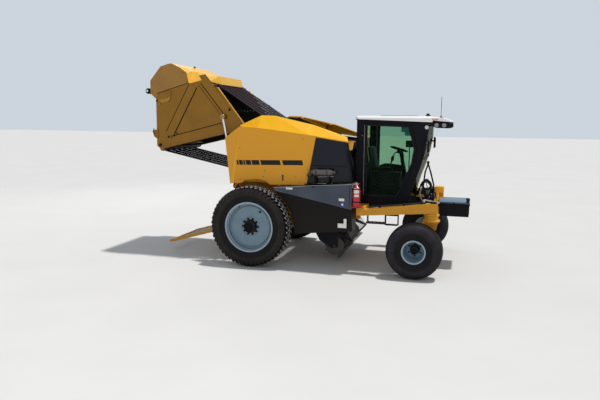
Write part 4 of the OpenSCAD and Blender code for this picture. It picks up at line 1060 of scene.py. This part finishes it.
# Hoses from under the cab to the front, clipped at the hoop
HOSE_Y = [(-700, -760, -800), (-600, -700, -760), (-500, -620, -700),
          (500, 620, 700), (600, 700, 780), (700, 760, 840)]
(Form()
 .pipes([[14, [(3060, y0, 1300), (3120, y0, 1420 + 20 * k), (3240, y1, 1500 + 20 * k),
               (3360, y2, 1400), (3420, y2, 1256)]]
         for k, (y0, y1, y2) in enumerate(HOSE_Y)])
 .done("front_hoses", HOSE))
(Form()
 .pipes([[14, [(3330, -1215, 1368), (3318, -1150, 1400), (3340, -1100, 1398),
               (3560, -1100, 1362), (3580, -1060, 1350), (3470, -940, 1270), (3440, -900, 1246)]]]
        + [[9, [(3245, s * 800, 1620), (3215, s * 860, 1500), (3260, s * 930, 1380),
                (3375, s * 960, 1262)]] for s in (-1, 1)])
 .done("front_pipes", GREY_HOSE))
(Form()
 .boxes([[3345, 3470, s * 400, s * 660, 1240.5, 1450] for s in (-1, 1)]
        + [[3370, 3455, s * 680, s * 780, 1240.5, 1300] for s in (-1, 1)], 8)
 .done("front_manifold", BLACK))
Form().boxes([[3296, 3344.5, -780, 780, 1240.5, 1475]], 8).done("front_cover", BLACK)
(Form()
 .boxes([[3478, 3650, -680, -480, 1500, 1615], [3500, 3545, -640, -500, 1240, 1505],
         [3478, 3600, -560, -500, 1360, 1400]], 12)
 .done("front_bracket", YELLOW))
(Form().bolts([(x, -660, z) for x in (3375, 3435) for z in (1290, 1350, 1410)], 14, 20, (0, -1, 0))
 .done("manifold_ports", STEEL))
(Form()
 .tube([(3334 + 85 * cos(a), -822, 1655 + 88 * sin(a))
        for a in (radians(d) for d in range(0, 361, 10))], 13)
 .pipes([[18, [(3275, -822, 1560), (3300, -830, 1480), (3360, -840, 1360), (3400, -840, 1260)]],
         [18, [(3415, -822, 1590), (3400, -830, 1500), (3330, -850, 1380), (3260, -850, 1300)]]],
        steps=6)
 .turned([(12, 0), (26, 10), (26, 40), (10, 55), (0, 56)], (3345, -820, 2062), 20, UP)
 .done("hoop_fittings", BLACK))


# Steps, ladder and extinguisher

(Form().boxes([[2275 + 70 * k, 2305 + 70 * k, -1325, -1200, 955, 963] for k in range(5)])
 .done("step_grips", STEEL))
(Form()
 .boxes([[2295, 2535, 1305 + 20 * k, 1312 + 20 * k, z, z + 6]
         for z in (460, 690, 920) for k in range(3)], 2)
 .done("ladder_grips", STEEL))

BOTTLE_X, BOTTLE_Y = 2082, -1390
# Blank patches on the bottle: from z0 to z1, from one angle to another
form = Form()
for z0, z1, first, last in ((1512, 1605, -118, -44), (1448, 1490, -112, -46)):
    turn = [radians(first + (last - first) * k / 12) for k in range(13)]
    rows = [[form.bm.verts.new((BOTTLE_X + 76.2 * cos(a), BOTTLE_Y + 76.2 * sin(a), z))
             for a in turn] for z in (z0, z1)]
    for k in range(12):
        form.bm.faces.new((rows[0][k], rows[0][k + 1], rows[1][k + 1], rows[1][k]))
form.done("extinguisher_band", WHITE_PLATE)
# Valve, gauge and hose
(Form()
 .turned([(30, 0), (30, 30), (20, 36), (20, 56), (0, 58)], (BOTTLE_X, BOTTLE_Y, 1655), 24, UP)
 .turned([(0, 0), (20, 0), (20, 12), (0, 14)], (BOTTLE_X, -1412, 1690), 24, (0, -1, 0))
 .tube([(2060, BOTTLE_Y, 1690), (2010, -1400, 1660), (1996, -1405, 1550), (1997, -1405, 1420)],
       10, 10, 6)
 .done("extinguisher_valve", STEEL))
form = Form()
for z in (1335, 1575):
    form.turned([(75.6, 0), (78.5, 2), (78.5, 20), (75.6, 22)], (BOTTLE_X, BOTTLE_Y, z), 40, UP)
    form.boxes([[2005, 2022, -1412, -1468, z, z + 22]], 4)
form.done("extinguisher_straps", BLACK)
Form().boxes([[1985, 2215, -1475, -1300, 1266, 1276.5]], 4).done("extinguisher_shelf", RED)


# Pickup: stripper bands between the tines and guard rods

# In metres, each stretch of a band with vertices of its own
REEL = (1.56, 0.35)
BAND_R, BAND_HALF = 0.218, 0.014
form = Form(unit=1)
for k in range(23):
    y = (k - 11) * 0.066
    turns = [radians(a) for a in range(200, 405, 15)]
    for first, last in zip(turns, turns[1:]):
        form.bm.faces.new([
            form.bm.verts.new((REEL[0] - BAND_R * cos(t), y + e, REEL[1] - BAND_R * sin(t)))
            for t, e in ((first, -BAND_HALF), (first, BAND_HALF), (last, BAND_HALF),
                         (last, -BAND_HALF))])
bands = form.done("stripper_bands", BLACK, "pickup", smooth=False)
bands.modifiers.new("thick", "SOLIDIFY").thickness = 0.003
(Form()
 .pipes([[6, [(1890, y, 515), (1780, y, 680), (1600, y, 735), (1420, y, 715)]]
         for y in ((k - 8) * 100 for k in range(17))], 6, 4)
 .done("guard_rods", STEEL, "pickup"))


# Bale ramp: grip bars across the rails

RAMP_SLOPE = radians(16)
form = Form()
for k in range(1, 7):
    x = -830 - 200 * k * cos(RAMP_SLOPE)
    z = 566 - 200 * k * sin(RAMP_SLOPE)
    form.tube([(x, -612, z), (x, 612, z)], 14)
form.done("ramp_bars", STEEL, "ramp")


# Stage, light and camera

def light(name, kind, energy, spot, target, size, colour=(1, 1, 1)):
    data = bpy.data.lights.new(name, kind)
    data.energy = energy
    data.color = colour
    if kind == "AREA":
        data.shape = "DISK"
        data.size = size
    else:
        data.angle = radians(size)
    obj = bpy.data.objects.new(name, data)
    bpy.context.scene.collection.objects.link(obj)
    obj.location = spot
    obj.rotation_euler = (Vector(target) - Vector(spot)).to_track_quat("-Z", "Y").to_euler()


def stage():
    g = Look("pale_floor")
    g.surface(g.ramp(g.noise(0.6, 4.0), (0.3, (0.66,) * 3), (0.7, (0.69,) * 3)), 0.85)
    mesh = bpy.data.meshes.new("floor")
    r = 90.0
    mesh.from_pydata([(-r, -r, 0), (r, -r, 0), (r, r, 0), (-r, r, 0)], [], [(0, 1, 2, 3)])
    floor = bpy.data.objects.new("floor", mesh)
    bpy.context.scene.collection.objects.link(floor)
    mesh.materials.append(g.owner)
    world = bpy.data.worlds.new("studio")
    bpy.context.scene.world = world
    w = Shader(world)
    lit = w.fill(w.tree.nodes["Background"], {"Color": (0.86, 0.93, 1.0), "Strength": 0.36})
    seen = w.fill(w.node("Background"), {"Color": (0.6, 0.66, 0.72), "Strength": 1.0})
    path = w.node("LightPath").outputs
    clear = w.top(w.top(path["Is Camera Ray"], path["Is Transmission Ray"]),
                  path["Is Glossy Ray"])
    w.put(w.tree.nodes["World Output"].inputs["Surface"],
          w.mix_shader(clear, lit.outputs[0], seen.outputs[0]))
    light("key", "SUN", 2.65, (3.5, 1.6, 14), (0, 0, 1), 3, (1.0, 0.97, 0.92))
    light("fill", "AREA", 230, (2, -14, 7), (0, 0, 1.5), 9, (1.0, 0.97, 0.93))
    light("back", "AREA", 160, (-9, 8, 8), (0, 0, 2), 7)


def camera():
    yaw, pitch, roll = radians(16.26), radians(8.07), radians(0.52)
    ahead = Vector((-sin(yaw) * cos(pitch), cos(yaw) * cos(pitch), -sin(pitch)))
    level = Vector((cos(yaw), sin(yaw), 0))
    upright = level.cross(ahead)
    right = level * cos(roll) + upright * sin(roll)
    up = upright * cos(roll) - level * sin(roll)
    data = bpy.data.cameras.new("camera")
    data.sensor_width = 36.0
    data.lens = 34.61
    data.clip_end = 400.0
    cam = bpy.data.objects.new("camera", data)
    bpy.context.scene.collection.objects.link(cam)
    cam.matrix_world = (Matrix.Translation(Vector((4.0826, -12.0593, 2.9021)) + SHIFT)
                        @ Matrix((right, up, -ahead)).transposed().to_4x4())
    bpy.context.scene.camera = cam
    bpy.context.scene.view_settings.view_transform = "Standard"


stage()
camera()
